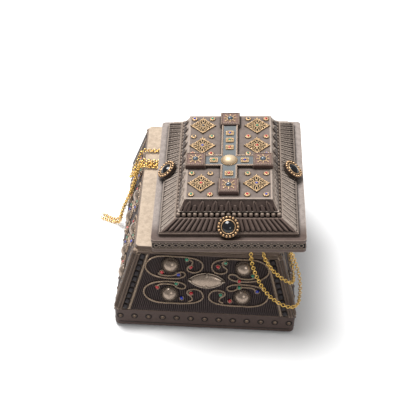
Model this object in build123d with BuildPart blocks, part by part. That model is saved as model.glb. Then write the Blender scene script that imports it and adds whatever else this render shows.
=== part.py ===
"""Ornamental casket: a flared box with applied panels, and a stepped lift-off lid lying askew on it.

Millimetres, +Z up. X runs to the right along the front, Y to the back.
The origin is the centre of the flat foot, on the surface the casket stands on.
"""

import os
from math import atan2, cos, hypot, pi, radians, sin, tan

from build123d import *

os.makedirs("parts", exist_ok=True)

# ---------------------------------------------------------------- driving dimensions: box
PAD_THICK = 1.0  # felt under the base
PAD_INSET = 4.0
BASE_X, BASE_Y = 118.0, 150.0  # plinth, outside
PLINTH_TOP = 16.0
FOOT_X, FOOT_Y = 57.8, 73.8  # half sizes of the body where it stands on the plinth
NECK_X, NECK_Y = 45.4, 60.9  # half sizes of the body under the rim
NECK_Z = 58.5
RIM_X, RIM_Y = 46.2, 61.7  # half sizes of the rim
RIM_TOP = 61.5
OPENING_X, OPENING_Y = 34.5, 50.0  # half sizes of the cavity
CAVITY_FLOOR = 8.0
CAVITY_CORNER = 5.0

# ---------------------------------------------------------------- driving dimensions: relief on the box
STRAP_WIDTH = 8.7
STRAP_THICK = 1.8
STRAP_GAP = 0.4  # from the corner of the body
CHANNEL_DEPTH = 0.7  # channel of beads along each strap
CHANNEL_WIDTH = 3.6
BEAD_PITCH = 3.9
PANEL_THICK = 1.0
CORNICE_HEIGHT = 3.0  # moulding under the rim
CORNICE_THICK = 1.5
BOSS_RADIUS, BOSS_HEIGHT = 4.5, 3.2
RING_OUTER, RING_INNER, RING_HEIGHT = 6.0, 5.0, 1.0
NAVETTE_HALF_LONG, NAVETTE_HALF_WIDE, NAVETTE_THICK = 11.6, 5.3, 2.0
WIRE_HEIGHT, WIRE_WIDTH = 0.9, 1.0
ENAMEL_RADIUS, ENAMEL_HEIGHT = 1.15, 1.3
STRAP_BEAD_WIDTH, STRAP_BEAD_LENGTH, STRAP_BEAD_HEIGHT = 2.6, 2.9, 1.0
END_STONE_RADIUS, END_STONE_HEIGHT = 1.9, 1.6
RIVET_RADIUS, RIVET_HEIGHT = 1.2, 1.1
RIVETS_FRONT, RIVETS_SIDE = 13, 16
RIVET_PITCH = 9.2
RIVET_Z = 10.2

# ---------------------------------------------------------------- driving dimensions: lid
LID_SHIFT_X, LID_SHIFT_Y = 12.8, -10.2  # how far the lid has been pushed off centre
LID_TILT = 3.6  # degrees, right side up
LID_EDGE_GAP = 3.5  # room under the lid's left edge, where the chains pass
LID_X, LID_Y, LID_THICK = 48.2, 59.7, 9.8  # half sizes of the plate
FRIEZE_LOW, FRIEZE_HIGH, FRIEZE_DEPTH = 2.5, 7.6, 1.0
LIP_X, LIP_Y, LIP_WALL, LIP_DEPTH = 33.5, 49.0, 3.0, 3.2
STEP_X, STEP_Y, STEP_TOP = 43.3, 55.9, 12.2  # moulding on the plate
COVE_X, COVE_Y = 41.0, 53.6
LEDGE_X, LEDGE_Y, LEDGE_Z = 33.2, 48.2, 18.0
PEARL_RADIUS = 1.6
PEARL_X, PEARL_Y = 31.2, 46.4
PEARLS_X, PEARLS_Y = 18, 27  # gaps between pearls along each side
CROWN_FOOT_Z = 21.2
CROWN_FOOT_X, CROWN_FOOT_Y = 30.7, 45.6
CROWN_TOP_X, CROWN_TOP_Y, CROWN_TOP = 26.9, 41.6, 28.6
MEDAL_RADIUS, MEDAL_THICK, MEDAL_STEM = 6.9, 2.0, 4.0
STONE_RADIUS, STONE_HEIGHT = 3.7, 1.9

# ---------------------------------------------------------------- driving dimensions: cross on the crown
CROSS_Y = -7.3  # where the arms meet
ARM_HALF_WIDTH, ARM_THICK = 5.3, 2.0
INLAY_HALF_WIDTH, INLAY_DEPTH = 4.1, 0.6
END_SIZE, END_THICK = 12.8, 3.2
END_X = 21.6  # centres of the side plates
END_BACK, END_FRONT = 35.1, -32.4  # centres of the back and front plates
CENTRE_RADIUS, CENTRE_HEIGHT = 4.6, 3.0
PLAQUE_X, PLAQUE_Y, PLAQUE_THICK = 5.2, 4.2, 0.7
LOZENGE_HALF, LOZENGE_THICK = 8.4, 0.9
ROSETTE_RADIUS, ROSETTE_HEIGHT = 1.9, 0.9
GEM_RADIUS, GEM_HEIGHT = 0.85, 0.7
SMALL_GAP = 0.05

# ---------------------------------------------------------------- driving dimensions: chains
CHAIN_DIAMETER = 2.6


# ---------------------------------------------------------------- planes of the four faces
def face_plane(side):
    """The sloping face of the body: local X along the foot, local Y up the slope, Z outwards."""
    lean_y = atan2(FOOT_Y - NECK_Y, NECK_Z - PLINTH_TOP)
    lean_x = atan2(FOOT_X - NECK_X, NECK_Z - PLINTH_TOP)
    if side == "front":
        return Plane((0, -FOOT_Y, PLINTH_TOP), x_dir=(1, 0, 0), z_dir=(0, -cos(lean_y), sin(lean_y)))
    if side == "back":
        return Plane((0, FOOT_Y, PLINTH_TOP), x_dir=(-1, 0, 0), z_dir=(0, cos(lean_y), sin(lean_y)))
    if side == "right":
        return Plane((FOOT_X, 0, PLINTH_TOP), x_dir=(0, 1, 0), z_dir=(cos(lean_x), 0, sin(lean_x)))
    return Plane((-FOOT_X, 0, PLINTH_TOP), x_dir=(0, -1, 0), z_dir=(-cos(lean_x), 0, sin(lean_x)))


def face_size(side):
    """Half width at the foot, half width at the neck, and length up the slope."""
    if side in ("front", "back"):
        return FOOT_X, NECK_X, hypot(NECK_Z - PLINTH_TOP, FOOT_Y - NECK_Y)
    return FOOT_Y, NECK_Y, hypot(NECK_Z - PLINTH_TOP, FOOT_X - NECK_X)


def half_width(side, up):
    """Half width of a face, at a distance up its slope."""
    foot, neck, slope = face_size(side)
    return foot + (neck - foot) * up / slope


SIDES = ("front", "back", "left", "right")
FACE = {side: face_plane(side) for side in SIDES}
SLOPE = {side: face_size(side)[2] for side in SIDES}

# Where the bosses stand on a face: (along, up). The front and back have four each, the long sides eight.
LOW_ROW, HIGH_ROW = 13.0, 34.0
END_COLUMN = 23.5
SIDE_COLUMNS = (-33.0, 0.0, 33.0)
SIDE_OUTER_COLUMN = 52.5
END_BOSSES = [(u, v) for u in (-END_COLUMN, END_COLUMN) for v in (LOW_ROW, HIGH_ROW)]
SIDE_BOSSES = [(u, v) for u in SIDE_COLUMNS for v in (LOW_ROW, HIGH_ROW)]
SIDE_BOSSES += [(-SIDE_OUTER_COLUMN, LOW_ROW), (SIDE_OUTER_COLUMN, LOW_ROW)]
BOSSES = {"front": END_BOSSES, "back": END_BOSSES, "left": SIDE_BOSSES, "right": SIDE_BOSSES}
# One pointed plate in the middle of the front and of the back.
NAVETTE_UP = 24.2
# Loops of wire round the bosses: (along, up, half length, half height).
LOW_LOOP_UP, LOW_LOOP_HALF, HIGH_LOOP_HALF = 13.6, 8.0, 7.2
END_LOOPS = [(hand * 20.2, HIGH_ROW, 17.2, HIGH_LOOP_HALF) for hand in (-1, 1)]
END_LOOPS += [(hand * 21.8, LOW_LOOP_UP, 18.6, LOW_LOOP_HALF) for hand in (-1, 1)]
SIDE_LOOPS = [(u, HIGH_ROW, 13.2, HIGH_LOOP_HALF) for u in SIDE_COLUMNS]
SIDE_LOOPS += [(u, LOW_LOOP_UP, 13.2, LOW_LOOP_HALF) for u in SIDE_COLUMNS]
LOOPS = {"front": END_LOOPS, "back": END_LOOPS, "left": SIDE_LOOPS, "right": SIDE_LOOPS}
# Enamel beads on an end face, by colour: (along, up).
ENAMEL = {
    "green": [(-13.2, 38.8), (-19.4, 21.0), (11.6, 37.6), (29.4, 29.2), (9.5, 14.1), (21.2, 20.1)],
    "red": [(-10.4, 33.4), (-28.8, 28.9), (-31.6, 17.6), (-9.6, 14.3), (6.8, 34.6), (20.9, 24.8), (15.7, 9.9)],
    "blue": [(-18.2, 27.5), (-15.6, 10.4), (32.9, 17.8)],
}
# Enamel beads on a long side, beside each pair of bosses.
SIDE_ENAMEL = {"green": [(-9.4, 15.6), (9.4, 37.0)], "red": [(9.4, 11.4), (-9.4, 31.4)], "blue": [(9.4, 31.4), (-9.4, 11.4)]}


# ================================================================= the box
with BuildPart() as felt_base_pad:
    with BuildSketch():
        RectangleRounded(BASE_X - 2 * PAD_INSET, BASE_Y - 2 * PAD_INSET, 3)
    extrude(amount=PAD_THICK)
felt_base_pad.part.label = "felt_base_pad"
export_step(felt_base_pad.part, "parts/felt_base_pad.step")

with BuildPart() as base_plinth:
    with BuildSketch(Plane.XY.offset(PAD_THICK)):
        RectangleRounded(BASE_X, BASE_Y, 3)
    extrude(amount=PLINTH_TOP - PAD_THICK)
    fillet(base_plinth.faces().sort_by(Axis.Z)[0].edges(), 1.6)
    fillet(base_plinth.faces().sort_by(Axis.Z)[-1].edges(), 0.6)
    with BuildSketch(Plane.XY.offset(CAVITY_FLOOR)):
        RectangleRounded(2 * OPENING_X, 2 * OPENING_Y, CAVITY_CORNER)
    extrude(amount=PLINTH_TOP, mode=Mode.SUBTRACT)
base_plinth.part.label = "base_plinth"
export_step(base_plinth.part, "parts/base_plinth.step")

with BuildPart() as casket_body:
    with BuildSketch(Plane.XY.offset(PLINTH_TOP)):
        Rectangle(2 * FOOT_X, 2 * FOOT_Y)
    with BuildSketch(Plane.XY.offset(NECK_Z)):
        Rectangle(2 * NECK_X, 2 * NECK_Y)
    loft(ruled=True)
    with BuildSketch(Plane.XY.offset(PLINTH_TOP)):
        RectangleRounded(2 * OPENING_X, 2 * OPENING_Y, CAVITY_CORNER)
    extrude(amount=NECK_Z, mode=Mode.SUBTRACT)
casket_body.part.label = "casket_body"
export_step(casket_body.part, "parts/casket_body.step")

with BuildPart() as rim:
    with BuildSketch(Plane.XY.offset(NECK_Z)):
        RectangleRounded(2 * RIM_X, 2 * RIM_Y, 3)
    extrude(amount=RIM_TOP - NECK_Z)
    fillet(rim.faces().sort_by(Axis.Z)[-1].edges(), 0.8)
    with BuildSketch(Plane.XY.offset(NECK_Z)):
        RectangleRounded(2 * OPENING_X, 2 * OPENING_Y, CAVITY_CORNER)
    extrude(amount=RIM_TOP, mode=Mode.SUBTRACT)
rim.part.label = "rim"
export_step(rim.part, "parts/rim.step")


def rivet_places():
    """Planes of the domed rivets round the plinth."""
    places = []
    for number in range(RIVETS_FRONT):
        along = (number - (RIVETS_FRONT - 1) / 2) * RIVET_PITCH
        places.append(Plane((along, -BASE_Y / 2, RIVET_Z), x_dir=(1, 0, 0), z_dir=(0, -1, 0)))
        places.append(Plane((along, BASE_Y / 2, RIVET_Z), x_dir=(-1, 0, 0), z_dir=(0, 1, 0)))
    for number in range(RIVETS_SIDE):
        along = (number - (RIVETS_SIDE - 1) / 2) * RIVET_PITCH
        places.append(Plane((BASE_X / 2, along, RIVET_Z), x_dir=(0, 1, 0), z_dir=(1, 0, 0)))
        places.append(Plane((-BASE_X / 2, along, RIVET_Z), x_dir=(0, -1, 0), z_dir=(-1, 0, 0)))
    return places


def dome(radius, height, skirt=0.2):
    """One domed stud on the XY plane: a short upright skirt, and above it a cap of a sphere."""
    rise = height * (1 - skirt)
    sphere = (rise**2 + radius**2) / (2 * rise)
    half_angle = atan2(radius, sphere - rise) / 2
    shoulder = (sphere * sin(half_angle), height - sphere + sphere * cos(half_angle))
    with BuildPart() as stud:
        with BuildSketch(Plane.XZ):
            with BuildLine():
                Polyline((0, height), (0, 0), (radius, 0), (radius, height * skirt))
                ThreePointArc((radius, height * skirt), shoulder, (0, height))
            make_face()
        revolve(axis=Axis.Z)
    return stud.part


rivet = dome(RIVET_RADIUS, RIVET_HEIGHT)
with BuildPart() as plinth_rivets:
    with Locations(*rivet_places()):
        add(rivet)
plinth_rivets.part.label = "plinth_rivets"
export_step(plinth_rivets.part, "parts/plinth_rivets.step")


# ================================================================= relief on the four faces
def strap_outline(side, hand):
    """Corner points of a strap beside one slanting edge of a face."""
    low, high = SMALL_GAP, SLOPE[side] - CORNICE_HEIGHT - SMALL_GAP
    outer_low, outer_high = half_width(side, low) - STRAP_GAP, half_width(side, high) - STRAP_GAP
    inner_low, inner_high = outer_low - STRAP_WIDTH, outer_high - STRAP_WIDTH
    return [(hand * inner_low, low), (hand * outer_low, low), (hand * outer_high, high), (hand * inner_high, high)]


def channel_line(side, hand, up):
    """Middle of a strap's bead channel, at a distance up the slope."""
    return hand * (half_width(side, up) - STRAP_GAP - STRAP_WIDTH * 0.56)


def channel_outline(side, hand):
    """Corner points of the bead channel in a strap."""
    low, high = SMALL_GAP, SLOPE[side] - CORNICE_HEIGHT - SMALL_GAP
    points = []
    for up, offsets in ((low, (-1, 1)), (high, (1, -1))):
        for offset in offsets:
            points.append((channel_line(side, hand, up) + offset * CHANNEL_WIDTH / 2, up))
    return points


def panel_outline(side):
    """Corner points of the panel between the two straps."""
    low, high = SMALL_GAP, SLOPE[side] - CORNICE_HEIGHT - SMALL_GAP
    inset = STRAP_GAP + STRAP_WIDTH + SMALL_GAP
    half_low, half_high = half_width(side, low) - inset, half_width(side, high) - inset
    return [(-half_low, low), (half_low, low), (half_high, high), (-half_high, high)]


def cornice_outline(side):
    """Corner points of the moulding under the rim."""
    low, high = SLOPE[side] - CORNICE_HEIGHT, SLOPE[side] - 0.5
    half_low, half_high = half_width(side, low) - STRAP_GAP, half_width(side, high) - STRAP_GAP
    return [(-half_low, low), (half_low, low), (half_high, high), (-half_high, high)]


def bead_places(side):
    """Where the beads lie in the channels of a face: (along, up)."""
    count = int((SLOPE[side] - CORNICE_HEIGHT - BEAD_PITCH * 0.4) / BEAD_PITCH)
    start = (SLOPE[side] - CORNICE_HEIGHT - (count - 1) * BEAD_PITCH) / 2
    ups = [start + number * BEAD_PITCH for number in range(count)]
    return [(channel_line(side, hand, up), up) for hand in (-1, 1) for up in ups]


for side in SIDES:
    with BuildPart() as panel:
        with BuildSketch(FACE[side]):
            Polygon(*panel_outline(side), align=None)
        extrude(amount=PANEL_THICK)
    panel.part.label = f"{side}_panel"
    export_step(panel.part, f"parts/{side}_panel.step")

    with BuildPart() as straps:
        with BuildSketch(FACE[side]):
            for hand in (-1, 1):
                Polygon(*strap_outline(side, hand), align=None)
        extrude(amount=STRAP_THICK)
        with BuildSketch(FACE[side].offset(STRAP_THICK)):
            for hand in (-1, 1):
                Polygon(*channel_outline(side, hand), align=None)
        extrude(amount=-CHANNEL_DEPTH, mode=Mode.SUBTRACT)
    straps.part.label = f"{side}_straps"
    export_step(straps.part, f"parts/{side}_straps.step")

with BuildPart() as strap_beads:
    for side in SIDES:
        with BuildSketch(FACE[side].offset(STRAP_THICK - CHANNEL_DEPTH)):
            with Locations(*bead_places(side)):
                Rectangle(STRAP_BEAD_WIDTH, STRAP_BEAD_LENGTH)
    extrude(amount=STRAP_BEAD_HEIGHT)
strap_beads.part.label = "strap_beads"
export_step(strap_beads.part, "parts/strap_beads.step")

with BuildPart() as cornice:
    for side in SIDES:
        with BuildSketch(FACE[side]):
            Polygon(*cornice_outline(side), align=None)
    extrude(amount=CORNICE_THICK)
cornice.part.label = "cornice"
export_step(cornice.part, "parts/cornice.step")

boss = dome(BOSS_RADIUS, BOSS_HEIGHT)
for side in SIDES:
    with BuildPart() as bosses:
        with Locations(FACE[side].offset(PANEL_THICK)):
            with Locations(*BOSSES[side]):
                add(boss)
    bosses.part.label = f"{side}_bosses"
    export_step(bosses.part, f"parts/{side}_bosses.step")

with BuildPart() as boss_rings:
    for side in SIDES:
        with BuildSketch(FACE[side].offset(PANEL_THICK)):
            with Locations(*BOSSES[side]):
                Circle(RING_OUTER)
                Circle(RING_INNER, mode=Mode.SUBTRACT)
    extrude(amount=RING_HEIGHT)
boss_rings.part.label = "boss_rings"
export_step(boss_rings.part, "parts/boss_rings.step")


def navette_sketch():
    """Outline of a plate pointed at both ends."""
    with BuildSketch() as outline:
        with BuildLine():
            tips = (-NAVETTE_HALF_LONG, 0), (NAVETTE_HALF_LONG, 0)
            ThreePointArc(tips[0], (0, NAVETTE_HALF_WIDE), tips[1])
            ThreePointArc(tips[1], (0, -NAVETTE_HALF_WIDE), tips[0])
        make_face()
    return outline.sketch


navette = navette_sketch()
with BuildPart() as navette_plates:
    for side in ("front", "back"):
        with BuildSketch(FACE[side].offset(PANEL_THICK)):
            with Locations((0, NAVETTE_UP)):
                add(navette)
    extrude(amount=NAVETTE_THICK)
navette_plates.part.label = "navette_plates"
export_step(navette_plates.part, "parts/navette_plates.step")

for side in SIDES:
    with BuildPart() as scroll_wires:
        with BuildSketch(FACE[side].offset(PANEL_THICK)):
            for along, up, half_long, half_high in LOOPS[side]:
                with Locations((along, up)):
                    Ellipse(half_long, half_high)
                    Ellipse(half_long - WIRE_WIDTH, half_high - WIRE_WIDTH, mode=Mode.SUBTRACT)
        extrude(amount=WIRE_HEIGHT)
    scroll_wires.part.label = f"{side}_scroll_wires"
    export_step(scroll_wires.part, f"parts/{side}_scroll_wires.step")

enamel_bead = dome(ENAMEL_RADIUS, ENAMEL_HEIGHT)
for colour in ("green", "red", "blue"):
    with BuildPart() as enamel:
        for side in ("front", "back"):
            with Locations(FACE[side].offset(PANEL_THICK)):
                with Locations(*ENAMEL[colour]):
                    add(enamel_bead)
        for side in ("left", "right"):
            spots = [(column + along, up) for column in SIDE_COLUMNS for along, up in SIDE_ENAMEL[colour]]
            with Locations(FACE[side].offset(PANEL_THICK)):
                with Locations(*spots):
                    add(enamel_bead)
    enamel.part.label = f"enamel_beads_{colour}"
    export_step(enamel.part, f"parts/enamel_beads_{colour}.step")


# ================================================================= the lid, in its own tilted plane
LID_Z = RIM_TOP + LID_EDGE_GAP + LID_X * sin(radians(LID_TILT))
LID = Plane(
    (LID_SHIFT_X, LID_SHIFT_Y, LID_Z),
    x_dir=(cos(radians(LID_TILT)), 0, sin(radians(LID_TILT))),
    z_dir=(-sin(radians(LID_TILT)), 0, cos(radians(LID_TILT))),
)

with BuildPart() as lid_plate:
    with BuildSketch(LID):
        RectangleRounded(2 * LID_X, 2 * LID_Y, 2.5)
    extrude(amount=FRIEZE_LOW)
    with BuildSketch(LID.offset(FRIEZE_LOW)):
        RectangleRounded(2 * (LID_X - FRIEZE_DEPTH), 2 * (LID_Y - FRIEZE_DEPTH), 1.5)
    extrude(amount=FRIEZE_HIGH - FRIEZE_LOW)
    with BuildSketch(LID.offset(FRIEZE_HIGH)):
        RectangleRounded(2 * LID_X, 2 * LID_Y, 2.5)
    extrude(amount=LID_THICK - FRIEZE_HIGH)
lid_plate.part.label = "lid_plate"
export_step(lid_plate.part, "parts/lid_plate.step")

with BuildPart() as lid_frieze:
    with BuildSketch(LID.offset(FRIEZE_LOW)):
        RectangleRounded(2 * (LID_X - 0.2), 2 * (LID_Y - 0.2), 2.3)
        RectangleRounded(2 * (LID_X - FRIEZE_DEPTH), 2 * (LID_Y - FRIEZE_DEPTH), 1.5, mode=Mode.SUBTRACT)
    extrude(amount=FRIEZE_HIGH - FRIEZE_LOW)
lid_frieze.part.label = "lid_frieze"
export_step(lid_frieze.part, "parts/lid_frieze.step")

with BuildPart() as lid_lip:
    with BuildSketch(LID):
        RectangleRounded(2 * LIP_X, 2 * LIP_Y, 4)
        RectangleRounded(2 * (LIP_X - LIP_WALL), 2 * (LIP_Y - LIP_WALL), 2, mode=Mode.SUBTRACT)
    extrude(amount=-LIP_DEPTH)
lid_lip.part.label = "lid_lip"
export_step(lid_lip.part, "parts/lid_lip.step")

with BuildPart() as lid_step:
    with BuildSketch(LID.offset(LID_THICK)):
        RectangleRounded(2 * STEP_X, 2 * STEP_Y, 0.6)
    extrude(amount=STEP_TOP - LID_THICK)
lid_step.part.label = "lid_step"
export_step(lid_step.part, "parts/lid_step.step")

with BuildPart() as lid_cove:
    with BuildSketch(LID.offset(STEP_TOP)):
        Rectangle(2 * COVE_X, 2 * COVE_Y)
    with BuildSketch(LID.offset(LEDGE_Z)):
        Rectangle(2 * LEDGE_X, 2 * LEDGE_Y)
    loft(ruled=True)
lid_cove.part.label = "lid_cove"
export_step(lid_cove.part, "parts/lid_cove.step")


def pearl_places():
    """Centres of the pearls along the ledge, each corner pearl once."""
    places = []
    for number in range(PEARLS_X):
        along = -PEARL_X + 2 * PEARL_X * number / PEARLS_X
        places += [(along, -PEARL_Y), (-along, PEARL_Y)]
    for number in range(PEARLS_Y):
        along = -PEARL_Y + 2 * PEARL_Y * number / PEARLS_Y
        places += [(PEARL_X, along), (-PEARL_X, -along)]
    return places


pearl = dome(PEARL_RADIUS, 2 * PEARL_RADIUS, skirt=0.5)
with BuildPart() as pearl_border:
    with Locations(LID.offset(LEDGE_Z)):
        with Locations(*pearl_places()):
            add(pearl)
pearl_border.part.label = "pearl_border"
export_step(pearl_border.part, "parts/pearl_border.step")

with BuildPart() as lid_crown:
    with BuildSketch(LID.offset(LEDGE_Z)):
        Rectangle(2 * (PEARL_X - PEARL_RADIUS - SMALL_GAP), 2 * (PEARL_Y - PEARL_RADIUS - SMALL_GAP))
    extrude(amount=CROWN_FOOT_Z - LEDGE_Z)
    with BuildSketch(LID.offset(CROWN_FOOT_Z)):
        Rectangle(2 * CROWN_FOOT_X, 2 * CROWN_FOOT_Y)
    with BuildSketch(LID.offset(CROWN_TOP)):
        Rectangle(2 * CROWN_TOP_X, 2 * CROWN_TOP_Y)
    loft(ruled=True)
lid_crown.part.label = "lid_crown"
export_step(lid_crown.part, "parts/lid_crown.step")


# ================================================================= medallions on the lid's slopes
def medal_plane(side):
    """Plane of a medallion, facing out over the middle of one slope of the lid."""
    if side in ("front", "back"):
        run, centre, hand = COVE_Y - LEDGE_Y, 53.3, -1 if side == "front" else 1
    else:
        run, centre, hand = COVE_X - LEDGE_X, 40.6, -1 if side == "left" else 1
    rise = LEDGE_Z - STEP_TOP
    length = hypot(run, rise)
    outward, upward = rise / length, run / length
    if side in ("front", "back"):
        local = Plane((0, hand * centre, 15.5), x_dir=(-hand, 0, 0), z_dir=(0, hand * outward, upward))
    else:
        local = Plane((hand * centre, 0, 15.5), x_dir=(0, hand, 0), z_dir=(hand * outward, 0, upward))
    return Plane(LID.location * local.location)


MEDAL = {side: medal_plane(side) for side in SIDES}
STEM_LENGTH = 6.0
medal_stone = dome(STONE_RADIUS, STONE_HEIGHT)
for side in SIDES:
    with BuildPart() as medallion:
        with BuildSketch(MEDAL[side]):
            Circle(MEDAL_RADIUS)
        extrude(amount=MEDAL_THICK)
        with BuildSketch(MEDAL[side]):
            Circle(MEDAL_STEM)
        extrude(amount=-STEM_LENGTH)
        add(lid_cove.part, mode=Mode.SUBTRACT)
        add(lid_step.part, mode=Mode.SUBTRACT)
        add(pearl_border.part, mode=Mode.SUBTRACT)
        add(lid_plate.part, mode=Mode.SUBTRACT)
    medallion.part.label = f"medallion_{side}"
    export_step(medallion.part, f"parts/medallion_{side}.step")

with BuildPart() as medallion_stones:
    for side in SIDES:
        with Locations(MEDAL[side].offset(MEDAL_THICK)):
            add(medal_stone)
medallion_stones.part.label = "medallion_stones"
export_step(medallion_stones.part, "parts/medallion_stones.step")

# ================================================================= the cross on the crown
CROWN = LID.offset(CROWN_TOP)
ARM_BACK = END_BACK - END_SIZE / 2 - SMALL_GAP
ARM_FRONT = END_FRONT + END_SIZE / 2 + SMALL_GAP
ARM_SIDE = END_X - END_SIZE / 2 - SMALL_GAP


def cross_outline(half, reach_side, front, back):
    """Corner points of a plain cross round the place where the arms meet."""
    low, high = CROSS_Y - half, CROSS_Y + half
    return [
        (-half, front), (half, front), (half, low), (reach_side, low), (reach_side, high), (half, high),
        (half, back), (-half, back), (-half, high), (-reach_side, high), (-reach_side, low), (-half, low),
    ]


with BuildPart() as cross_base:
    with BuildSketch(CROWN):
        Polygon(*cross_outline(ARM_HALF_WIDTH, ARM_SIDE, ARM_FRONT, ARM_BACK), align=None)
    extrude(amount=ARM_THICK)
    with BuildSketch(CROWN.offset(ARM_THICK)):
        Polygon(*cross_outline(INLAY_HALF_WIDTH, ARM_SIDE, ARM_FRONT, ARM_BACK), align=None)
    extrude(amount=-INLAY_DEPTH, mode=Mode.SUBTRACT)
cross_base.part.label = "cross_base"
export_step(cross_base.part, "parts/cross_base.step")

with BuildPart() as cross_inlay:
    with BuildSketch(CROWN.offset(ARM_THICK - INLAY_DEPTH)):
        Polygon(*cross_outline(INLAY_HALF_WIDTH, ARM_SIDE, ARM_FRONT, ARM_BACK), align=None)
    extrude(amount=INLAY_DEPTH - 0.2)
cross_inlay.part.label = "cross_inlay"
export_step(cross_inlay.part, "parts/cross_inlay.step")

END_PLACES = {"back": (0, END_BACK), "front": (0, END_FRONT), "left": (-END_X, CROSS_Y), "right": (END_X, CROSS_Y)}
for side in SIDES:
    with BuildPart() as cross_end:
        with BuildSketch(CROWN):
            with Locations(END_PLACES[side]):
                Rectangle(END_SIZE, END_SIZE)
        extrude(amount=END_THICK)
        fillet(cross_end.faces().sort_by(Axis((0, 0, 0), LID.z_dir))[-1].edges(), 0.4)
    cross_end.part.label = f"cross_end_{side}"
    export_step(cross_end.part, f"parts/cross_end_{side}.step")

end_stone = dome(END_STONE_RADIUS, END_STONE_HEIGHT)
with BuildPart() as cross_end_stones:
    with Locations(CROWN.offset(END_THICK)):
        with Locations(*END_PLACES.values()):
            add(end_stone)
cross_end_stones.part.label = "cross_end_stones"
export_step(cross_end_stones.part, "parts/cross_end_stones.step")

centre = dome(CENTRE_RADIUS, CENTRE_HEIGHT)
with BuildPart() as centre_boss:
    with Locations(CROWN.offset(ARM_THICK)):
        with Locations((0, CROSS_Y)):
            add(centre)
    add(cross_inlay.part, mode=Mode.SUBTRACT)
centre_boss.part.label = "centre_boss"
export_step(centre_boss.part, "parts/centre_boss.step")

# Gem plaques along the arms: (along, back) and the colour of the gem.
PLAQUES = [
    (0, 20.5, "blue"), (0, 13.1, "green"), (0, 5.6, "red"),
    (0, -20.4, "red"), (-9.9, CROSS_Y, "green"), (9.9, CROSS_Y, "blue"),
]
PLAQUE_BASE = ARM_THICK - 0.2
with BuildPart() as cross_plaques:
    with BuildSketch(CROWN.offset(PLAQUE_BASE)):
        with Locations(*[place[:2] for place in PLAQUES]):
            RectangleRounded(PLAQUE_X, PLAQUE_Y, 0.8)
    extrude(amount=PLAQUE_THICK)
cross_plaques.part.label = "cross_plaques"
export_step(cross_plaques.part, "parts/cross_plaques.step")

# ================================================================= lozenges, rosettes and gems on the crown
LOZENGES = [
    (-18.0, 30.6, "dark"), (-17.8, 9.6, "blue"), (-17.4, -28.0, "red"),
    (18.0, 30.6, "green"), (17.8, 9.6, "red"), (17.4, -28.0, "blue"),
]
ROSETTES = [
    (-23.9, 38.0, "blue"), (-12.0, 38.0, "green"), (12.0, 38.0, "dark"), (23.9, 38.0, "red"),
    (-23.9, 19.2, "dark"), (-12.0, 19.2, "green"), (12.0, 19.2, "red"), (23.9, 19.2, "red"),
    (-23.9, 1.4, "red"), (-12.0, 1.4, "red"), (12.0, 1.4, "green"), (23.9, 1.4, "blue"),
    (-23.6, -18.4, "green"), (-11.8, -18.4, "dark"), (11.8, -18.4, "green"), (23.6, -18.4, "red"),
    (-23.3, -38.4, "green"), (-11.6, -38.4, "red"), (11.6, -38.4, "red"), (23.3, -38.4, "blue"),
]

with BuildPart() as filigree_lozenges:
    with BuildSketch(CROWN):
        with Locations(*[place[:2] for place in LOZENGES]):
            Rectangle(LOZENGE_HALF * 2**0.5, LOZENGE_HALF * 2**0.5, rotation=45)
    extrude(amount=LOZENGE_THICK)
    add(cross_base.part, mode=Mode.SUBTRACT)
filigree_lozenges.part.label = "filigree_lozenges"
export_step(filigree_lozenges.part, "parts/filigree_lozenges.step")

rosette = dome(ROSETTE_RADIUS, ROSETTE_HEIGHT)
with BuildPart() as rosettes:
    with Locations(CROWN):
        with Locations(*[place[:2] for place in ROSETTES]):
            add(rosette)
rosettes.part.label = "rosettes"
export_step(rosettes.part, "parts/rosettes.step")

gem = dome(GEM_RADIUS, GEM_HEIGHT)
for colour in ("red", "green", "blue", "dark"):
    groups = (
        (PLAQUES, PLAQUE_BASE + PLAQUE_THICK),
        (LOZENGES, LOZENGE_THICK),
        (ROSETTES, ROSETTE_HEIGHT),
    )
    with BuildPart() as gems:
        for group, height in groups:
            spots = [place[:2] for place in group if place[2] == colour]
            if spots:
                with Locations(CROWN.offset(height)):
                    with Locations(*spots):
                        add(gem)
    gems.part.label = f"gems_{colour}"
    export_step(gems.part, f"parts/gems_{colour}.step")

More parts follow.
